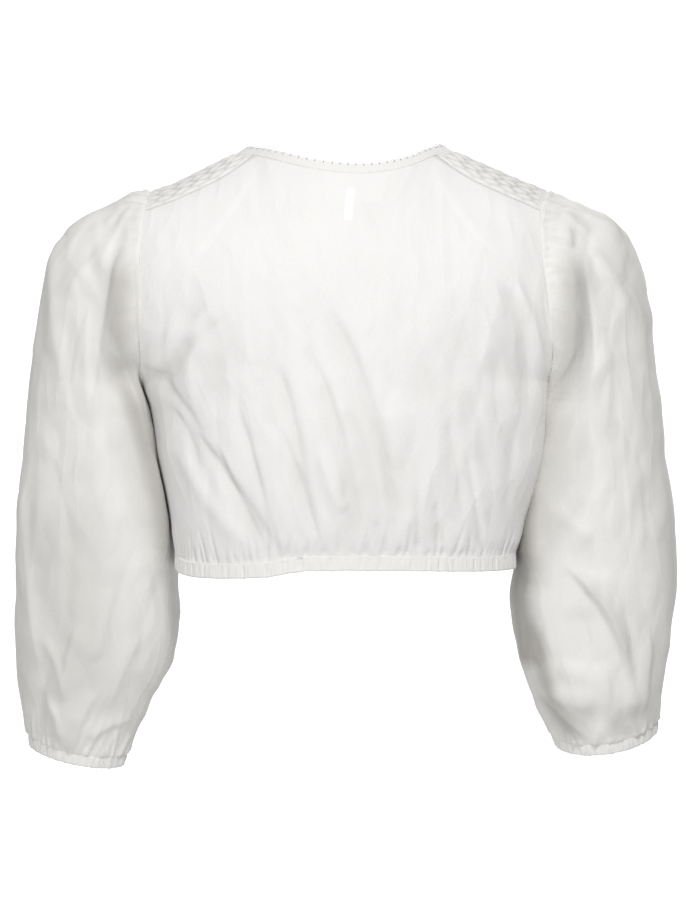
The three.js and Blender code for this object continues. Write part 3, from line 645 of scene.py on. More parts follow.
def yoke(name, s, w):
    """Shoulder piece: s from the neck to the sleeve, w from the back edge (-1) to the front (1)."""
    s, w = np.broadcast_arrays(np.asarray(s, float), np.asarray(w, float))
    side = SIDES[name]
    rows = YOKE[name]
    turn = np.abs(w) * YOKE_TURN
    out = np.sin(turn) / math.sin(YOKE_TURN)
    drop = (1 - np.cos(turn)) / (1 - math.cos(YOKE_TURN))

    def loft(place):
        row = between(rows, place * (len(rows["ridgeX"]) - 1))
        x, y, z = (np.where(w < 0, row["back" + axis], row["front" + axis]) for axis in "XYZ")
        return vec(
            side * lerp(row["ridgeX"], x, w * w),
            lerp(row["ridgeY"], y, out),
            lerp(row["ridgeZ"], z, drop),
        )

    at_neck = neckline(SHOULDER_ROW[name] + side * w, BINDING_WIDTH - BAND_TUCK)
    at_sleeve = around(ARMHOLE_POINTS[name], -w)
    return (
        loft(s)
        + (at_neck - loft(0 * s)) * ((1 - s) ** 3)[..., None]
        + (at_sleeve - loft(0 * s + 1)) * (s**3)[..., None]
    )


def side_edge(face_name, name, v):
    """A panel's side edge, up the side seam and round the armhole to the shoulder piece."""
    z = lerp(HEM_Z, UNDERARM_Z, v / UNDERARM_SHARE)
    below = vec(SIDES[name] * between(SIDE_SEAM, z, "z")[name], 0, z)
    rows = (v - UNDERARM_SHARE) / (1 - UNDERARM_SHARE) * ROWS_TO_YOKE
    above = around(ARMHOLE_POINTS[name], UNDERARM_ROW + FACES[face_name] * rows)
    return np.where((v < UNDERARM_SHARE)[..., None], below, above)


def top_edge(face_name, u):
    """A panel's upper edge: one shoulder piece, the neckline, the other shoulder piece."""
    w = FACES[face_name]
    start, end = NECK_SHARE[face_name]
    first, last = NECK_ROWS[face_name]
    left = yoke("left", 1 - clamp(u / start), w)
    right = yoke("right", clamp((u - end) / (1 - end)), w)
    row = lerp(first, last, clamp((u - start) / (end - start)))
    middle = neckline(row, BINDING_WIDTH - BAND_TUCK)
    return np.where((u < start)[..., None], left, np.where((u > end)[..., None], right, middle))


def panel(face_name, u, v):
    """Back or front panel: u from left to right, v from the hem to the shoulders and neck."""
    u, v = np.broadcast_arrays(np.asarray(u, float), np.asarray(v, float))
    face = FACES[face_name]
    neck_z = BACK_NECK_Z if face_name == "back" else FRONT_NECK_Z

    def section(place, height):
        """The plain section of the panel at a share of its height."""
        left, right = (side_edge(face_name, name, height) for name in SIDES)
        turn = lerp(SIDE_TURN, ARMHOLE_TURN, clamp((height - UNDERARM_SHARE) / ARMHOLE_SHARE))
        angle = (2 * place - 1) * turn
        out = clamp((np.cos(angle) - np.cos(turn)) / (1 - np.cos(turn))) ** FULLNESS
        z = lerp(HEM_Z, neck_z, height)
        point = lerp(left, right, ((np.sin(angle) / np.sin(turn) + 1) / 2)[..., None])
        depth = between(DEPTHS[face_name], z, "z")["depth"]
        point[..., 1] = lerp(point[..., 1], face * depth, out)
        point[..., 2] = lerp(point[..., 2], z, out)
        return point

    def shaping(place):
        """What the upper edge adds to the plain section at its own height."""
        return top_edge(face_name, place) - section(place, 0 * v + 1)

    sharp = shaping(u)
    spread = np.linspace(-EDGE_BLUR, EDGE_BLUR, EDGE_SAMPLES)
    weights = 1 + np.cos(math.pi * spread / EDGE_BLUR / EDGE_WINDOW)
    room = clamp(np.minimum(u, 1 - u) / EDGE_BLUR)
    soft = sum(weight * shaping(u + step * room) for step, weight in zip(spread, weights))
    soft = soft / weights.sum()
    point = section(u, v) + soft * (v**TOP_SHARE)[..., None]
    point = point + (sharp - soft) * (v**EDGE_SHARE)[..., None]
    if face_name == "back":
        point[..., 2] -= between(HEM_DROP, u, "u")["drop"] * (1 - v) ** DROP_SHARE
    return point


def body_side(name, y, z):
    """How far the body reaches to a side at a depth y and height z, below the underarm."""
    depth = np.where(
        y < 0, between(DEPTHS["back"], z, "z")["depth"], between(DEPTHS["front"], z, "z")["depth"]
    )
    share = clamp(np.abs(y) / depth)
    reach = between(SIDE_SEAM, z, "z")[name] * np.sqrt(1 - share ** (2 / FULLNESS))
    return np.where((z > UNDERARM_Z) | (z < HEM_Z - SIDE_REACH) | (share >= 1), 0, reach)


def sleeve(name, turn, v):
    """Sleeve: turn runs once round from its outer side by the back, v from armhole to cuff."""
    turn, v = np.broadcast_arrays(np.asarray(turn, float), np.asarray(v, float))
    side = SIDES[name]
    rows = SLEEVE[name]
    angle = turn * TURN
    share = (1 + np.cos(angle)) / 2

    def ring(place):
        row = between(rows, place * (len(rows["y"]) - 1))
        y = -row["depth"] * np.sin(angle)
        return vec(
            side * lerp(row["inX"], row["outX"], share),
            row["y"] + y,
            lerp(row["inZ"], row["outZ"], share) + row["lean"] * y,
        )

    start = around(ARMHOLE_POINTS[name], turn * ARMHOLE_ROWS)
    start[..., 0] -= side * SLEEVE_TUCK
    spread = np.abs(start[..., 0]) + v * SLEEVE_SPREAD
    from_armhole = lerp(spread, 0, clamp(v / SLEEVE_SPREAD_END - 1))
    head = ((1 - v) ** SLEEVE_HEAD_SHARE)[..., None]
    point = ring(v) + (start - ring(0 * v)) * head
    clear = CLEARANCE * clamp((UNDERARM_Z - point[..., 2]) / CLEARANCE_ROOM) - SLEEVE_TUCK
    least = np.maximum(from_armhole, body_side(name, point[..., 1], point[..., 2]) + clear)
    point[..., 0] = side * np.maximum(np.abs(point[..., 0]), least)
    return point


def fold_lift(folds, x, z):
    """How far the folds of a table lift the cloth at points, seen along Y."""
    here = np.stack([x.ravel(), z.ravel()], axis=-1)
    lift = np.zeros(len(here))
    t = np.linspace(0, 1, FOLD_SAMPLES)[:, None]
    for k in range(len(folds["width"])):
        fold = {name: column[k] for name, column in folds.items()}
        p0, p1, p2 = (np.array([fold[f"x{n}"], fold[f"z{n}"]]) for n in range(3))
        bend = 2 * p1 - (p0 + p2) / 2
        curve = (1 - t) ** 2 * p0 + 2 * t * (1 - t) * bend + t**2 * p2
        along = unit((1 - t) * (bend - p0) + t * (p2 - bend))
        reach = FOLD_REACH * fold["width"]
        near = np.flatnonzero(
            (here > curve.min(axis=0) - reach).all(axis=1)
            & (here < curve.max(axis=0) + reach).all(axis=1)
        )
        if not len(near):
            continue
        spot = here[near]
        away = spot[:, None, :] - curve[None, :, :]
        nearest = np.argmin((away**2).sum(axis=2), axis=1)
        away = away[np.arange(len(near)), nearest]
        tangent = along[nearest]
        beside = tangent[:, 0] * away[:, 1] - tangent[:, 1] * away[:, 0]
        ahead = (tangent * away).sum(axis=1)
        length = np.linalg.norm(np.diff(curve, axis=0), axis=1).sum()
        place = nearest / (FOLD_SAMPLES - 1) + ahead / length
        taper = smooth(np.minimum(place, 1 - place) / FOLD_TAPER + FOLD_START)
        width = fold["width"] * lerp(*FOLD_WIDTHS, clamp(place))
        slope = abs(fold["steep"])
        on_steep_side = beside * fold["steep"] > 0
        width = width * np.where(on_steep_side, 1 - STEEP_SIDE * slope, 1 + GENTLE_SIDE * slope)
        shape = fold["height"] * np.exp(-((np.abs(beside) / width) ** (2 - ROUND_LOSS * slope)))
        lift[near] += FOLD_STRENGTH * shape * taper
    return lift.reshape(x.shape)


def uneven(t, count, seed):
    """Gathers along an edge that closes on itself: about count waves for t from 0 to 1, with round
    crests and sharp valleys, uneven in width and height. Values run from -1 to 1."""
    shift = sum(
        size * np.sin(TURN * (waves * t + step * seed)) for size, waves, step in UNEVEN_SHIFTS
    )
    swell = math.prod(np.sin(TURN * (waves * t + step * seed)) for waves, step in UNEVEN_SIZES)
    crest = 2 * np.abs(np.sin(math.pi * count * t + shift)) - 1
    return crest * lerp(1, swell, UNEVEN_SIZE)


def ripples(x, z):
    """Soft random-looking unevenness of cloth, from waves of several lengths and directions."""
    total = 0 * x
    for k in range(RIPPLE_WAVES):
        angle = GOLDEN_ANGLE * (k + RIPPLE_SEED)
        length = RIPPLE_LENGTH + RIPPLE_STEP * k
        place = x * math.cos(angle) + z * math.sin(angle)
        height = RIPPLE_HEIGHTS[k % len(RIPPLE_HEIGHTS)]
        total = total + height * np.sin(TURN * place / length + PHASE_STEP * k * RIPPLE_SEED)
    return total


def crumple(x, z, seed, size=1.0):
    """Crisp shallow creases at all angles, along the lines where soft waves change sign."""
    total = 0 * x
    for k, (pitch, height) in enumerate(zip(CRUMPLE_PITCHES, CRUMPLE_HEIGHTS)):
        wave = 0 * x
        for n, stretch in enumerate(np.linspace(*CRUMPLE_STRETCH, CRUMPLE_WAVES)):
            angle = GOLDEN_ANGLE * (n + 3 * k + seed)
            phase = PHASE_STEP * (n + 1) * (k + seed)
            place = x * math.cos(angle) + CRUMPLE_LENGTHEN * z * math.sin(angle)
            wave = wave + np.sin(TURN * place / (pitch * stretch) + phase)
        total = total + (-1) ** k * height * (CRUMPLE_MIDDLE - np.abs(wave) / CRUMPLE_SPAN)
    return size * total


def creases(along, away, total, pitch, depth, reach, seed):
    """Short creases from a gathered edge into the cloth, each of its own depth, length and lean.
    along is the distance round the edge, which is total long, and away the distance from it."""
    chance = np.random.default_rng(seed)
    lift = 0 * along
    for k in range(round(total / pitch)):
        place = (k + 0.5 + chance.uniform(-CREASE_SHIFT, CREASE_SHIFT)) * pitch
        length = reach * chance.uniform(*CREASE_LENGTHS)
        width = pitch * chance.uniform(*CREASE_WIDTHS)
        beside = along - place - chance.uniform(-CREASE_LEAN, CREASE_LEAN) * away
        beside = np.abs(np.mod(beside + total / 2, total) - total / 2)
        lift -= depth * chance.uniform(*CREASE_DEPTHS) * smooth(1 - away / length) * np.exp(
            -((beside / width) ** CREASE_ROUND)
        )
    return lift


def gathered(along, away, total, rows, seeds):
    """Deep and fine gathers together."""
    return sum(creases(along, away, total, *row, seed) for row, seed in zip(rows, seeds))


# Meshes


def normals(grid, closed, facing):
    """The way out of a surface at each point of its grid of rows and columns."""
    if closed:
        across = np.roll(grid, -1, axis=1) - np.roll(grid, 1, axis=1)
    else:
        across = np.gradient(grid, axis=1)
    along = np.gradient(grid, axis=0)
    return unit(np.cross(across, along)) * facing


def mesh_object(name, vertices, faces, smooth_faces, material):
    """An object from points in millimetres; the first smooth_faces of its faces are smooth."""
    mesh = bpy.data.meshes.new(name)
    mesh.from_pydata((vertices * MM).tolist(), [], faces)
    mesh.polygons.foreach_set("use_smooth", np.arange(len(faces)) < smooth_faces)
    mesh.materials.append(material)
    mesh.update()
    made = bpy.data.objects.new(name, mesh)
    bpy.context.scene.collection.objects.link(made)
    return made


def lengths(grid, closed):
    """Distances along the middle row and the middle column, as cloth coordinates. Round a tube they
    rise to its far side and fall again, so the weave has no jump where the tube closes."""
    row = grid[len(grid) // 2]
    column = grid[:, grid.shape[1] // 2]
    across = np.r_[0, np.cumsum(np.linalg.norm(np.diff(row, axis=0), axis=1))]
    if closed:
        across = np.minimum(across, across[-1] + np.linalg.norm(row[0] - row[-1]) - across)
    down = np.r_[0, np.cumsum(np.linalg.norm(np.diff(column, axis=0), axis=1))]
    return np.broadcast_to(across, grid.shape[:2]), np.broadcast_to(down[:, None], grid.shape[:2])


def shell(name, grid, material, closed=False, facing=1, thickness=CLOTH, show_through_and_painted_light=0.0):
    """A thin shell of cloth whose outer face is the grid. Its rim is shaded flat, so it leaves no
    line beside it. Its last argument makes the cloth paler where a label shines through and where
    highlights are painted, and darker with painted shade where it is negative; it is kept with the
    cloth's own coordinates in metres, which its weave follows."""
    rows, columns = grid.shape[:2]
    inner = grid - normals(grid, closed, facing) * thickness
    vertices = np.concatenate([grid.reshape(-1, 3), inner.reshape(-1, 3)])
    number = np.arange(rows * columns).reshape(rows, columns)
    if closed:
        number = np.concatenate([number, number[:, :1]], axis=1)
    count = rows * columns

    def quads(a, b, c, d):
        return np.stack([a, b, c, d], axis=-1).reshape(-1, 4)

    a, b, c, d = number[:-1, :-1], number[:-1, 1:], number[1:, 1:], number[1:, :-1]
    faces = [quads(a, b, c, d), quads(a, d, c, b) + count]
    smooth_faces = 2 * len(faces[0])
    low, high = number[0], number[-1]
    faces.append(quads(low[:-1] + count, low[1:] + count, low[1:], low[:-1]))
    faces.append(quads(high[:-1], high[1:], high[1:] + count, high[:-1] + count))
    if not closed:
        left, right = number[:, 0], number[:, -1]
        faces.append(quads(left[:-1], left[1:], left[1:] + count, left[:-1] + count))
        faces.append(quads(right[:-1] + count, right[1:] + count, right[1:], right[:-1]))
    faces = np.concatenate(faces)
    if facing < 0:
        faces = faces[:, ::-1]
    across, down = lengths(grid, closed)
    coordinates = vec(across, down, show_through_and_painted_light).reshape(-1, 3)
    made = mesh_object(name, vertices, faces.tolist(), smooth_faces, material)
    layer = made.data.attributes.new("cloth", "FLOAT_VECTOR", "POINT")
    layer.data.foreach_set("vector", (np.concatenate([coordinates, coordinates]) * MM).ravel())
    return made


def tubes(name, paths, radius, material, sides=8, closed=False):
    """One mesh of round threads, one along each path."""
    vertices, faces = [], []
    total = 0
    for path in paths:
        path = np.asarray(path, float)
        if closed:
            along = unit(np.roll(path, -1, axis=0) - np.roll(path, 1, axis=0))
        else:
            along = unit(np.gradient(path, axis=0))
        across = unit(np.cross(along, np.array([0.31, 0.17, 0.93])))
        over = np.cross(along, across)
        turns = np.arange(sides) * TURN / sides
        ring = (
            across[:, None] * np.cos(turns)[None, :, None]
            + over[:, None] * np.sin(turns)[None, :, None]
        )
        vertices.append((path[:, None] + radius * ring).reshape(-1, 3))
        number = np.arange(len(path) * sides).reshape(len(path), sides) + total
        if closed:
            number = np.concatenate([number, number[:1]], axis=0)
        turned = np.roll(number, -1, axis=1)
        quads = np.stack([number[:-1], turned[:-1], turned[1:], number[1:]], axis=-1)
        faces += quads.reshape(-1, 4).tolist()
        if not closed:
            faces.append(number[0][::-1].tolist())
            faces.append(number[-1].tolist())
        total += len(path) * sides
    return mesh_object(name, np.concatenate(vertices), faces, len(faces), material)


# Materials


def node(tree, kind, **settings):
    made = tree.nodes.new(kind)
    for name, value in settings.items():
        if hasattr(made, name):
            setattr(made, name, value)
        else:
            made.inputs[name.replace("_", " ")].default_value = value
    return made


def math_node(tree, operation, a, b):
    made = tree.nodes.new("ShaderNodeMath")
    made.operation = operation
    for socket, value in zip(made.inputs, (a, b)):
        if isinstance(value, (int, float)):
            socket.default_value = value
        else:
            tree.links.new(value, socket)
    return made.outputs[0]


def cotton(name, colour, shade, weave=0.3, slub=0.5, shine=0.25, crumple=0.0, with_show_through_and_painted_light=False):
    """Thin cotton: a fine weave with thicker threads here and there, soft stains, a soft nap and
    small crisp creases. Where its shell asks for it, it is paler where a label shines through and
    where highlights are painted, and darker with painted shade."""
    material = bpy.data.materials.new(name)
    material.use_nodes = True
    tree = material.node_tree
    shader = tree.nodes["Principled BSDF"]
    for socket, value in {**COTTON, "Sheen Weight": shine}.items():
        shader.inputs[socket].default_value = value
    place = node(tree, "ShaderNodeAttribute", attribute_name="cloth")

    def noise(scale, detail, stretch, roughness=0.55, **settings):
        mapping = node(tree, "ShaderNodeMapping")
        mapping.inputs["Scale"].default_value = stretch
        tree.links.new(place.outputs["Vector"], mapping.inputs["Vector"])
        made = node(tree, "ShaderNodeTexNoise", **settings)
        for socket, value in (("Scale", scale), ("Detail", detail), ("Roughness", roughness)):
            made.inputs[socket].default_value = value
        tree.links.new(mapping.outputs["Vector"], made.inputs["Vector"])
        return made.outputs["Fac"]

    threads = math_node(tree, "ADD", noise(WEAVE_SCALE, 2, WARP), noise(WEAVE_SCALE, 2, WEFT))
    stains = noise(TONE_SCALE, 3, PLAIN)
    ramp = node(tree, "ShaderNodeValToRGB")
    for stop, position, tint in zip(ramp.color_ramp.elements, TONE_RANGE, (shade, colour)):
        stop.position = position
        stop.color = (*tint, 1)
    mixed = math_node(tree, "MULTIPLY", math_node(tree, "ADD", threads, stains), 1 / 3)
    tree.links.new(mixed, ramp.inputs["Fac"])
    colour_out = ramp.outputs["Color"]
    if with_show_through_and_painted_light:
        parts = node(tree, "ShaderNodeSeparateXYZ")
        tree.links.new(place.outputs["Vector"], parts.inputs["Vector"])
        # Pale where a label shines through and painted highlight; painted shade where the stored
        # value is negative
        for tint, sign in ((PALE_SHOW_THROUGH_AND_HIGHLIGHT, 1), (PAINTED_SHADE, -1)):
            mixer = node(tree, "ShaderNodeMix", data_type="RGBA")
            share = math_node(tree, "MULTIPLY", parts.outputs["Z"], sign / MM)
            tree.links.new(share, mixer.inputs["Factor"])
            tree.links.new(colour_out, mixer.inputs["A"])
            mixer.inputs["B"].default_value = tint
            colour_out = mixer.outputs["Result"]
    tree.links.new(colour_out, shader.inputs["Base Color"])
    ridges = noise(FACET_SCALE, 1, FACET_STRETCH, 0.4, **RIDGED)
    grain = noise(GRAIN_SCALE, 1, PLAIN, 0.5)
    normal = None
    for height, strength, distance in (
        (ridges, crumple, FACET_HEIGHT),
        (threads, slub, SLUB_HEIGHT),
        (grain, weave, GRAIN_HEIGHT),
    ):
        bump = node(tree, "ShaderNodeBump", Strength=strength, Distance=distance)
        tree.links.new(height, bump.inputs["Height"])
        if normal:
            tree.links.new(normal, bump.inputs["Normal"])
        normal = bump.outputs["Normal"]
    tree.links.new(normal, shader.inputs["Normal"])
    return material


MATERIALS = {
    "cloth": cotton("cloth", (0.85, 0.845, 0.835), (0.81, 0.805, 0.79), crumple=1.0, with_show_through_and_painted_light=True),
    # The sleeves' and the shoulder pieces' cotton is the cloth's, set a little darker and warmer as
    # painted shade, for where they turn from the light
    "sleeve": cotton("sleeve", (0.84, 0.825, 0.8), (0.8, 0.785, 0.76), crumple=1.0, with_show_through_and_painted_light=True),
    "smocking": cotton("smocking", (0.83, 0.825, 0.81), (0.79, 0.785, 0.77), with_show_through_and_painted_light=True),
    "band": cotton("band", (0.83, 0.825, 0.81), (0.78, 0.775, 0.76)),
    "picot": cotton("picot", (0.92, 0.915, 0.9), (0.88, 0.875, 0.86), weave=0.6),
    "thread": cotton("thread", (0.93, 0.925, 0.91), (0.9, 0.895, 0.88), weave=0.6),
    # Dark grey of the painted shadow dots below the picot edge
    "shadow_dot": cotton("shadow_dot", (0.46, 0.45, 0.43), (0.38, 0.37, 0.35)),
    "label": cotton("label", (0.94, 0.94, 0.93), (0.92, 0.92, 0.91), slub=0.15, shine=0.4),
}


# Pieces


def add(made, slot, *replaced):
    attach(made, BODY)
    if replaced:
        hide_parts(*replaced)
    return made


def label_shine(u, v):
    """How strongly the label and tag behind the back panel shine through it."""
    t = v
    for _ in range(CLOSER_STEPS):
        t = v + CLOSER_ENDS * np.sin(TURN * t)
    column, row = u * COARSE_COLUMNS, t * COARSE_ROWS
    total = 0 * u
    for name, (left, right, bottom, top, _) in LABELS.items():
        inside = np.minimum.reduce([column - left, right - column, row - bottom, top - row])
        total = np.maximum(total, LABEL_SHINE[name] * smooth(inside / LABEL_BLUR))
    return total


def seam_puckers(u, v, columns):
    side = np.exp(-((np.minimum(u, 1 - u) * columns / PUCKER_COLUMNS) ** 2))
    drift = PUCKER_DRIFT * np.sin(TURN * PUCKER_DRIFTS * v)
    pucker = PUCKER_HEIGHT * side * np.abs(np.sin(TURN * PUCKERS * v + drift))
    return pucker * smooth(np.minimum(v, 1 - v) / PUCKER_END)


def body_panel(face_name):
    columns, rows = PANEL_GRIDS[face_name]
    is_back = face_name == "back"
    folds = BACK_FOLDS if is_back else FRONT_FOLDS
    facing = -FACES[face_name]
    height = np.linspace(0, 1, rows + 1) ** ROWS_CLOSER
    u, v = np.meshgrid(np.linspace(0, 1, columns + 1), height)
    base = panel(face_name, u, v)
    x, z = base[..., 0], base[..., 2]
    above = z - panel(face_name, u[0], 0 * u[0])[..., 2]
    edge = smooth(np.minimum.reduce([u, 1 - u, 1 - v]) / FOLD_EDGE)
    lift = gathered(u * PANEL_WIDTH, above, PANEL_WIDTH, HEM_GATHERS, HEM_SEEDS[face_name])
    lift *= lerp(GATHER_START, 1, smooth(above / GATHER_RISE))
    calm = lerp(UPPER_CRUMPLE, 1, smooth((CALM_Z - z) / CALM_REACH))
    creased = fold_lift(folds, x, z) + calm * crumple(x, z, SEEDS[face_name])
    lift += smooth(above / FOLD_ROOM) * creased
    rise = edge * lift + seam_puckers(u, v, columns)
    grid = base + normals(base, False, facing) * rise[..., None]
    # Painted shade in the valleys of the folds
    show_through_and_painted_light = -VALLEY_SHADE * clamp(-lift / VALLEY_DEPTH)
    if is_back:
        # Painted highlight lines down the back from the neck; pale also where the labels shine
        # through
        shine = HIGHLIGHT_PAINT * clamp(fold_lift(PAINTED_HIGHLIGHTS, x, z))
        shine = np.maximum(label_shine(u, v), shine)
        show_through_and_painted_light = np.where(shine > SHINE_LEAST, shine, show_through_and_painted_light)
    made = shell(f"{face_name}_cloth", grid, MATERIALS["cloth"], facing=facing, show_through_and_painted_light=show_through_and_painted_light)
    return add(made, "cloth", face_name)


def smocking(s, w):
    """Rows of pointed puffs along the shoulder, each row half a puff out of step with the next."""
    waver = PUFF_WAVER * np.sin(PUFF_WAVES[0] * s) * np.sin(PUFF_WAVES[1] * w + 1)
    place = (w + 1) * LOZENGES_ACROSS + waver
    row = np.floor(place)
    across = 2 * (place - row) - 1
    half_step = (row % 2) * math.pi / 2
    along = s * LOZENGES_ALONG * math.pi + half_step + PUFF_DRIFT * np.sin(PUFF_STEP * row)
    return np.abs(np.sin(along)) ** PUFF_POINT * np.sqrt(clamp(1 - across**2))


def shoulder_piece(name):
    columns, rows = YOKE_GRID
    widest = 1 + YOKE_LAP / YOKE_REACH
    s, w = np.meshgrid(np.linspace(0, 1, columns + 1), np.linspace(-widest, widest, rows + 1))
    facing = 1 if name == "right" else -1
    base = yoke(name, s, w)
    puffs = smocking(s, w)
    edge = smooth(np.minimum(s, 1 - s) / PUFF_ENDS)
    edge *= smooth((PUFF_SIDES[0] - np.abs(w)) / PUFF_SIDES[1])
    rise = (LOZENGE_RISE * puffs + ripples(base[..., 0], base[..., 1])) * edge
    rise -= YOKE_LAP_SINK * clamp((np.abs(w) - 1) / (widest - 1))
    grid = base + normals(base, False, facing) * rise[..., None]
    # Painted shade between the puffs
    show_through_and_painted_light = -SMOCKING_SHADE * (1 - puffs) * edge
    made = shell(f"smocking_{name}", grid, MATERIALS["smocking"], facing=facing, show_through_and_painted_light=show_through_and_painted_light)
    return add(made, "smocking", f"shoulder_{name}")


def mirrored(folds):
    """The same folds on the other side of the blouse."""
    turned = dict(folds)
    for column in ("x0", "x1", "x2", "steep"):
        turned[column] = -folds[column]
    return turned


def sleeve_piece(name):
    columns, rows = SLEEVE_GRID
    other = "left" if name == "right" else "right"
    facing = 1 if name == "left" else -1
    u, v = np.meshgrid(np.arange(columns) / columns, np.linspace(0, 1, rows + 1))
    base = sleeve(name, u, v)
    x, z = base[..., 0], base[..., 2]
    towards_back = np.sin(u * TURN)
    folds = np.where(
        towards_back > 0,
        fold_lift(SLEEVE_FOLDS[name], x, z),
        fold_lift(mirrored(SLEEVE_FOLDS[other]), x, z),
    )
    ends = smooth(np.minimum(v, 1 - v) / FOLD_EDGE)
    side = smooth(np.abs(towards_back) / FOLD_SIDE)
    down = v * SLEEVE_LENGTH
    up = (1 - v) * SLEEVE_LENGTH
    low, high = HEAD_GATHERED
    upper = smooth((np.cos(u * TURN) - low) / (high - low))
    head, cuff = (
        gathered(u * total, away, total, rows, seeds[name])
        * smooth(away / SLEEVE_GATHER_RISE + SLEEVE_GATHER_START)
        for total, away, rows, seeds in (
            (HEAD_ROUND, down, HEAD_GATHERS, HEAD_SEEDS),
            (CUFF_ROUND, up, CUFF_GATHERS, CUFF_SEEDS),
        )
    )
    crumpled = crumple(x, z, SEEDS[name], SLEEVE_CRUMPLE)
    lift = upper * head + cuff + ends * (side * folds + crumpled)
    grid = base + normals(base, True, facing) * lift[..., None]
    # Painted shade in the valleys of the folds, and painted shadow where the sleeve lies against the
    # body
    deep = VALLEY_SHADE * clamp(-lift / VALLEY_DEPTH)
    painted_shadow = clamp(fold_lift(SHADED[name], x, z)) * clamp(SHADED_SIDE * towards_back)
    show_through_and_painted_light = -np.maximum(deep, SLEEVE_SHADE * painted_shadow)
    made = shell(f"sleeve_cloth_{name}", grid, MATERIALS["sleeve"], True, facing, show_through_and_painted_light=show_through_and_painted_light)
    return add(made, "cloth", f"sleeve_{name}")


def puffed(share):
    """The outline of a folded band across its width: thin at both edges and full between."""
    return np.sin(math.pi * share) ** BAND_ROUND


def sunk(share, place, width):
    """How far the stitches at a place across a band pull it in there."""
    return np.exp(-(((share - place) / width) ** 2))


def band(name, kind, at, facing):
    """A gathered casing round an edge; at(turn, down) is its surface."""
    columns, steps, height, gathers, depth = BANDS[kind]
    turn, share = np.meshgrid(np.arange(columns) / columns, np.linspace(0, 1, steps + 1))
    upper = -BAND_TUCK - BAND_WAVER * np.abs(uneven(turn, gathers, BAND_WAVER_SEED))
    base = at(turn, lerp(upper, CURVED_SEAM + height, share))
    total = np.linalg.norm(np.diff(base[0], axis=0), axis=1).sum()
    rows = ((share, total / gathers, depth), (1 - share, BAND_FINE_PITCH, BAND_FINE_DEPTH * depth))
    folds = sum(
        creases(turn * total, place * height, total, pitch, deep, reach * height, seed)
        for (place, pitch, deep), reach, seed in zip(rows, BAND_REACHES, BAND_SEEDS)
    )
    puff = puffed(share)
    lift = BAND_RISE + BAND_PUFF * puff + folds * lerp(BAND_EDGE_DEPTH, 1, puff)
    lift -= STITCH_SINK * sunk(share, STITCH_ROW, STITCH_WIDTH)
    grid = base + normals(base, True, facing) * lift[..., None]
    cloth = MATERIALS["band"]
    made = shell(f"{name}_cloth", grid, cloth, True, facing, thickness=BAND_CLOTH)
    return add(made, "band", name), grid


def stitches(name, line):
    """Short threads, one after the other, on a closed line."""
    line = np.concatenate([line, line[:1]])
    steps = np.linalg.norm(np.diff(line, axis=0), axis=1)
    places = np.r_[0, np.cumsum(steps)]
    count = int(places[-1] / STITCH_PITCH)
    paths = []
    for start in np.arange(count) * places[-1] / count:
        at = start + np.linspace(0, STITCH_LENGTH, 4)
        paths.append(np.stack([np.interp(at, places, line[:, axis]) for axis in range(3)], axis=-1))
    return tubes(name, paths, THREAD, MATERIALS["thread"], sides=5)


def hem(turn, down):
    """The panels' lower edge, once round by the back, at a distance down from it."""
    share = np.mod(turn, 1) * 2
    back = panel("back", clamp(share), 0 * turn)
    front = panel("front", clamp(2 - share), 0 * turn)
    edge = np.where((share < 1)[..., None], back, front)
    edge[..., 2] -= down
    return edge


def cuff_surface(name):
    """A cuff's surface, as a function of the turn and of the distance down from the sleeve."""
    def at(turn, down):
        edge = sleeve(name, turn, 0 * turn + 1)
        before = sleeve(name, turn, 0 * turn + BEFORE_CUFF)

        def middle(v):
            return (sleeve(name, 0.0, v) + sleeve(name, 0.5, v)) / 2

        way = unit(middle(1.0) - middle(BEFORE_CUFF))
        way = unit(way + unit(edge - before) * CUFF_FLARE)
        return edge + way * down[..., None]

    return at


def neck_binding():
    columns, rows = BINDING_GRID
    u, share = np.meshgrid(np.arange(columns) / columns, np.linspace(0, 1, rows + 1))
    base = neckline(u * len(NECKLINE), share * BINDING_WIDTH)
    waves = BINDING_WAVE * uneven(u, BINDING_WAVES, BINDING_SEED)
    lift = BINDING_RISE * (1 - sunk(share, BINDING_SEAM, BINDING_SEAM_WIDTH))
    lift += (BAND_PUFF + waves) * puffed(share)
    grid = base + normals(base, True, -1) * lift[..., None]
    cloth = MATERIALS["band"]
    made = shell("neck_binding_cloth", grid, cloth, True, -1, thickness=BINDING_CLOTH)
    return add(made, "band", "neck_binding"), grid


def neck_picot(binding_grid):
    """A thread along the binding's edge and a small loop standing on it for each picot."""
    rim = -SEAM - PICOT_GAP - CORD
    turn = np.arange(CORD_POINTS) / CORD_POINTS
    base = neckline(turn * len(NECKLINE), rim + CORD_WAVE * np.sin(TURN * 2 * PICOTS * turn))
    across = np.linspace(-1, 1, PICOT_POINTS)
    rise = PICOT_SEAT + PICOT_HEIGHT * np.sqrt(clamp(1 - np.abs(across) ** PICOT_ROUND))
    paths, shadow_dots = [], []
    for k in range(PICOTS):
        u = (k + 0.5 + PICOT_WIDTH * across) / PICOTS
        paths.append(neckline(u * len(NECKLINE), rim - rise))
        column = round(k * binding_grid.shape[1] / PICOTS)
        shadow_dots.append(binding_grid[:SHADOW_DOT_ROWS, column])
    # Short dark threads at the binding's upper edge, one below each picot: painted shadow dots
    add(tubes("picot_shadow_dots", shadow_dots, SHADOW_DOT, MATERIALS["shadow_dot"]), "picot")
    loops = tubes("picot_loops", paths, LOOP, MATERIALS["picot"])
    cord = tubes("picot_cord", [base], CORD, MATERIALS["picot"], closed=True)
    add(loops, "picot", "neck_picot")
    add(cord, "picot")


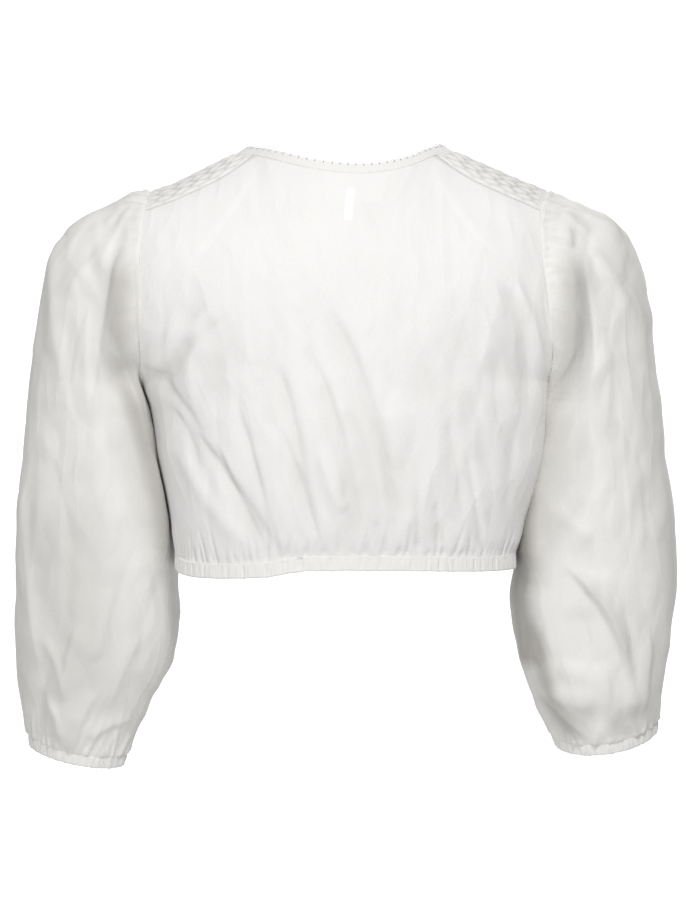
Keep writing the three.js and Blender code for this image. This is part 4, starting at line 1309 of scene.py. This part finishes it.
def label(name, left, right, bottom, top, layer):
    depth = WALL + SEAM + layer * (LABEL_WALL + SEAM) + LABEL_ROOM
    columns, rows = LABEL_GRID
    t = np.linspace(bottom, top, rows) / COARSE_ROWS
    u = np.linspace(left, right, columns) / COARSE_COLUMNS
    base = panel("back", *np.meshgrid(u, t - CLOSER_ENDS * np.sin(TURN * t)))
    grid = base - normals(base, False, 1) * depth
    made = shell(f"{name}_ribbon", grid, MATERIALS["label"], thickness=RIBBON)
    return add(made, "label", name)


back = body_panel("back")
front = body_panel("front")
shoulders = {name: shoulder_piece(name) for name in SIDES}
sleeves = {name: sleeve_piece(name) for name in SIDES}
hem_casing, hem_grid = band("hem_casing", "hem_casing", hem, -1)
cuffs = {
    name: band(f"cuff_{name}", "cuff", cuff_surface(name), -side) for name, side in SIDES.items()
}
binding, binding_grid = neck_binding()
neck_picot(binding_grid)
labels = {name: label(name, *place) for name, place in LABELS.items()}
add(stitches("hem_stitches", hem_grid[CASING_STITCHES]), "band")
add(stitches("neck_stitches", binding_grid[BINDING_STITCHES]), "band")
for side_name, (_, cuff_grid) in cuffs.items():
    add(stitches(f"cuff_stitches_{side_name}", cuff_grid[CASING_STITCHES]), "band")


# Stage, light and camera


def material_of(name, colour, emission=0.0):
    made = bpy.data.materials.new(name)
    made.use_nodes = True
    shader = made.node_tree.nodes["Principled BSDF"]
    shader.inputs["Base Color"].default_value = colour
    shader.inputs["Roughness"].default_value = 0.9
    shader.inputs["Emission Color"].default_value = colour
    shader.inputs["Emission Strength"].default_value = emission
    return made


def floor():
    bpy.ops.mesh.primitive_circle_add(
        vertices=96, radius=FLOOR_RADIUS, fill_type="NGON", location=(0, 0, FLOOR_Z)
    )
    made = bpy.context.object
    made.name = "floor"
    made.data.materials.append(material_of("floor", (0.9, 0.9, 0.9, 1)))


def backdrop():
    bpy.ops.mesh.primitive_uv_sphere_add(segments=48, ring_count=24, radius=BACKDROP_RADIUS)
    made = bpy.context.object
    made.name = "backdrop"
    made.data.materials.append(material_of("backdrop", (1, 1, 1, 1), 1.0))
    for ray in ("diffuse", "glossy", "transmission", "volume_scatter", "shadow"):
        setattr(made, f"visible_{ray}", False)


def area_light(name, place, size, power):
    data = bpy.data.lights.new(name, "AREA")
    data.shape = "DISK"
    data.size = size
    data.energy = power
    made = bpy.data.objects.new(name, data)
    made.location = place
    made.rotation_euler = (LIGHT_AIM - made.location).to_track_quat("-Z", "Y").to_euler()
    bpy.context.scene.collection.objects.link(made)


def world(strength):
    made = bpy.data.worlds.new("studio")
    made.use_nodes = True
    background = made.node_tree.nodes["Background"]
    background.inputs["Color"].default_value = (1, 0.995, 0.985, 1)
    background.inputs["Strength"].default_value = strength
    bpy.context.scene.world = made


def camera():
    data = bpy.data.cameras.new("camera")
    data.sensor_fit = "VERTICAL"
    data.sensor_height = SENSOR
    data.sensor_width = SENSOR
    data.lens = SENSOR * DISTANCE / PICTURE_HEIGHT
    data.clip_end = 100
    made = bpy.data.objects.new("camera", data)
    made.location = CENTRE + Vector((0, -DISTANCE, 0))
    made.rotation_euler = (math.pi / 2, 0, 0)
    bpy.context.scene.collection.objects.link(made)
    bpy.context.scene.camera = made


floor()
backdrop()
for light_name, settings in LIGHTS.items():
    area_light(light_name, *settings)
world(WORLD_LIGHT)
camera()
bpy.context.scene.view_settings.view_transform = "Standard"
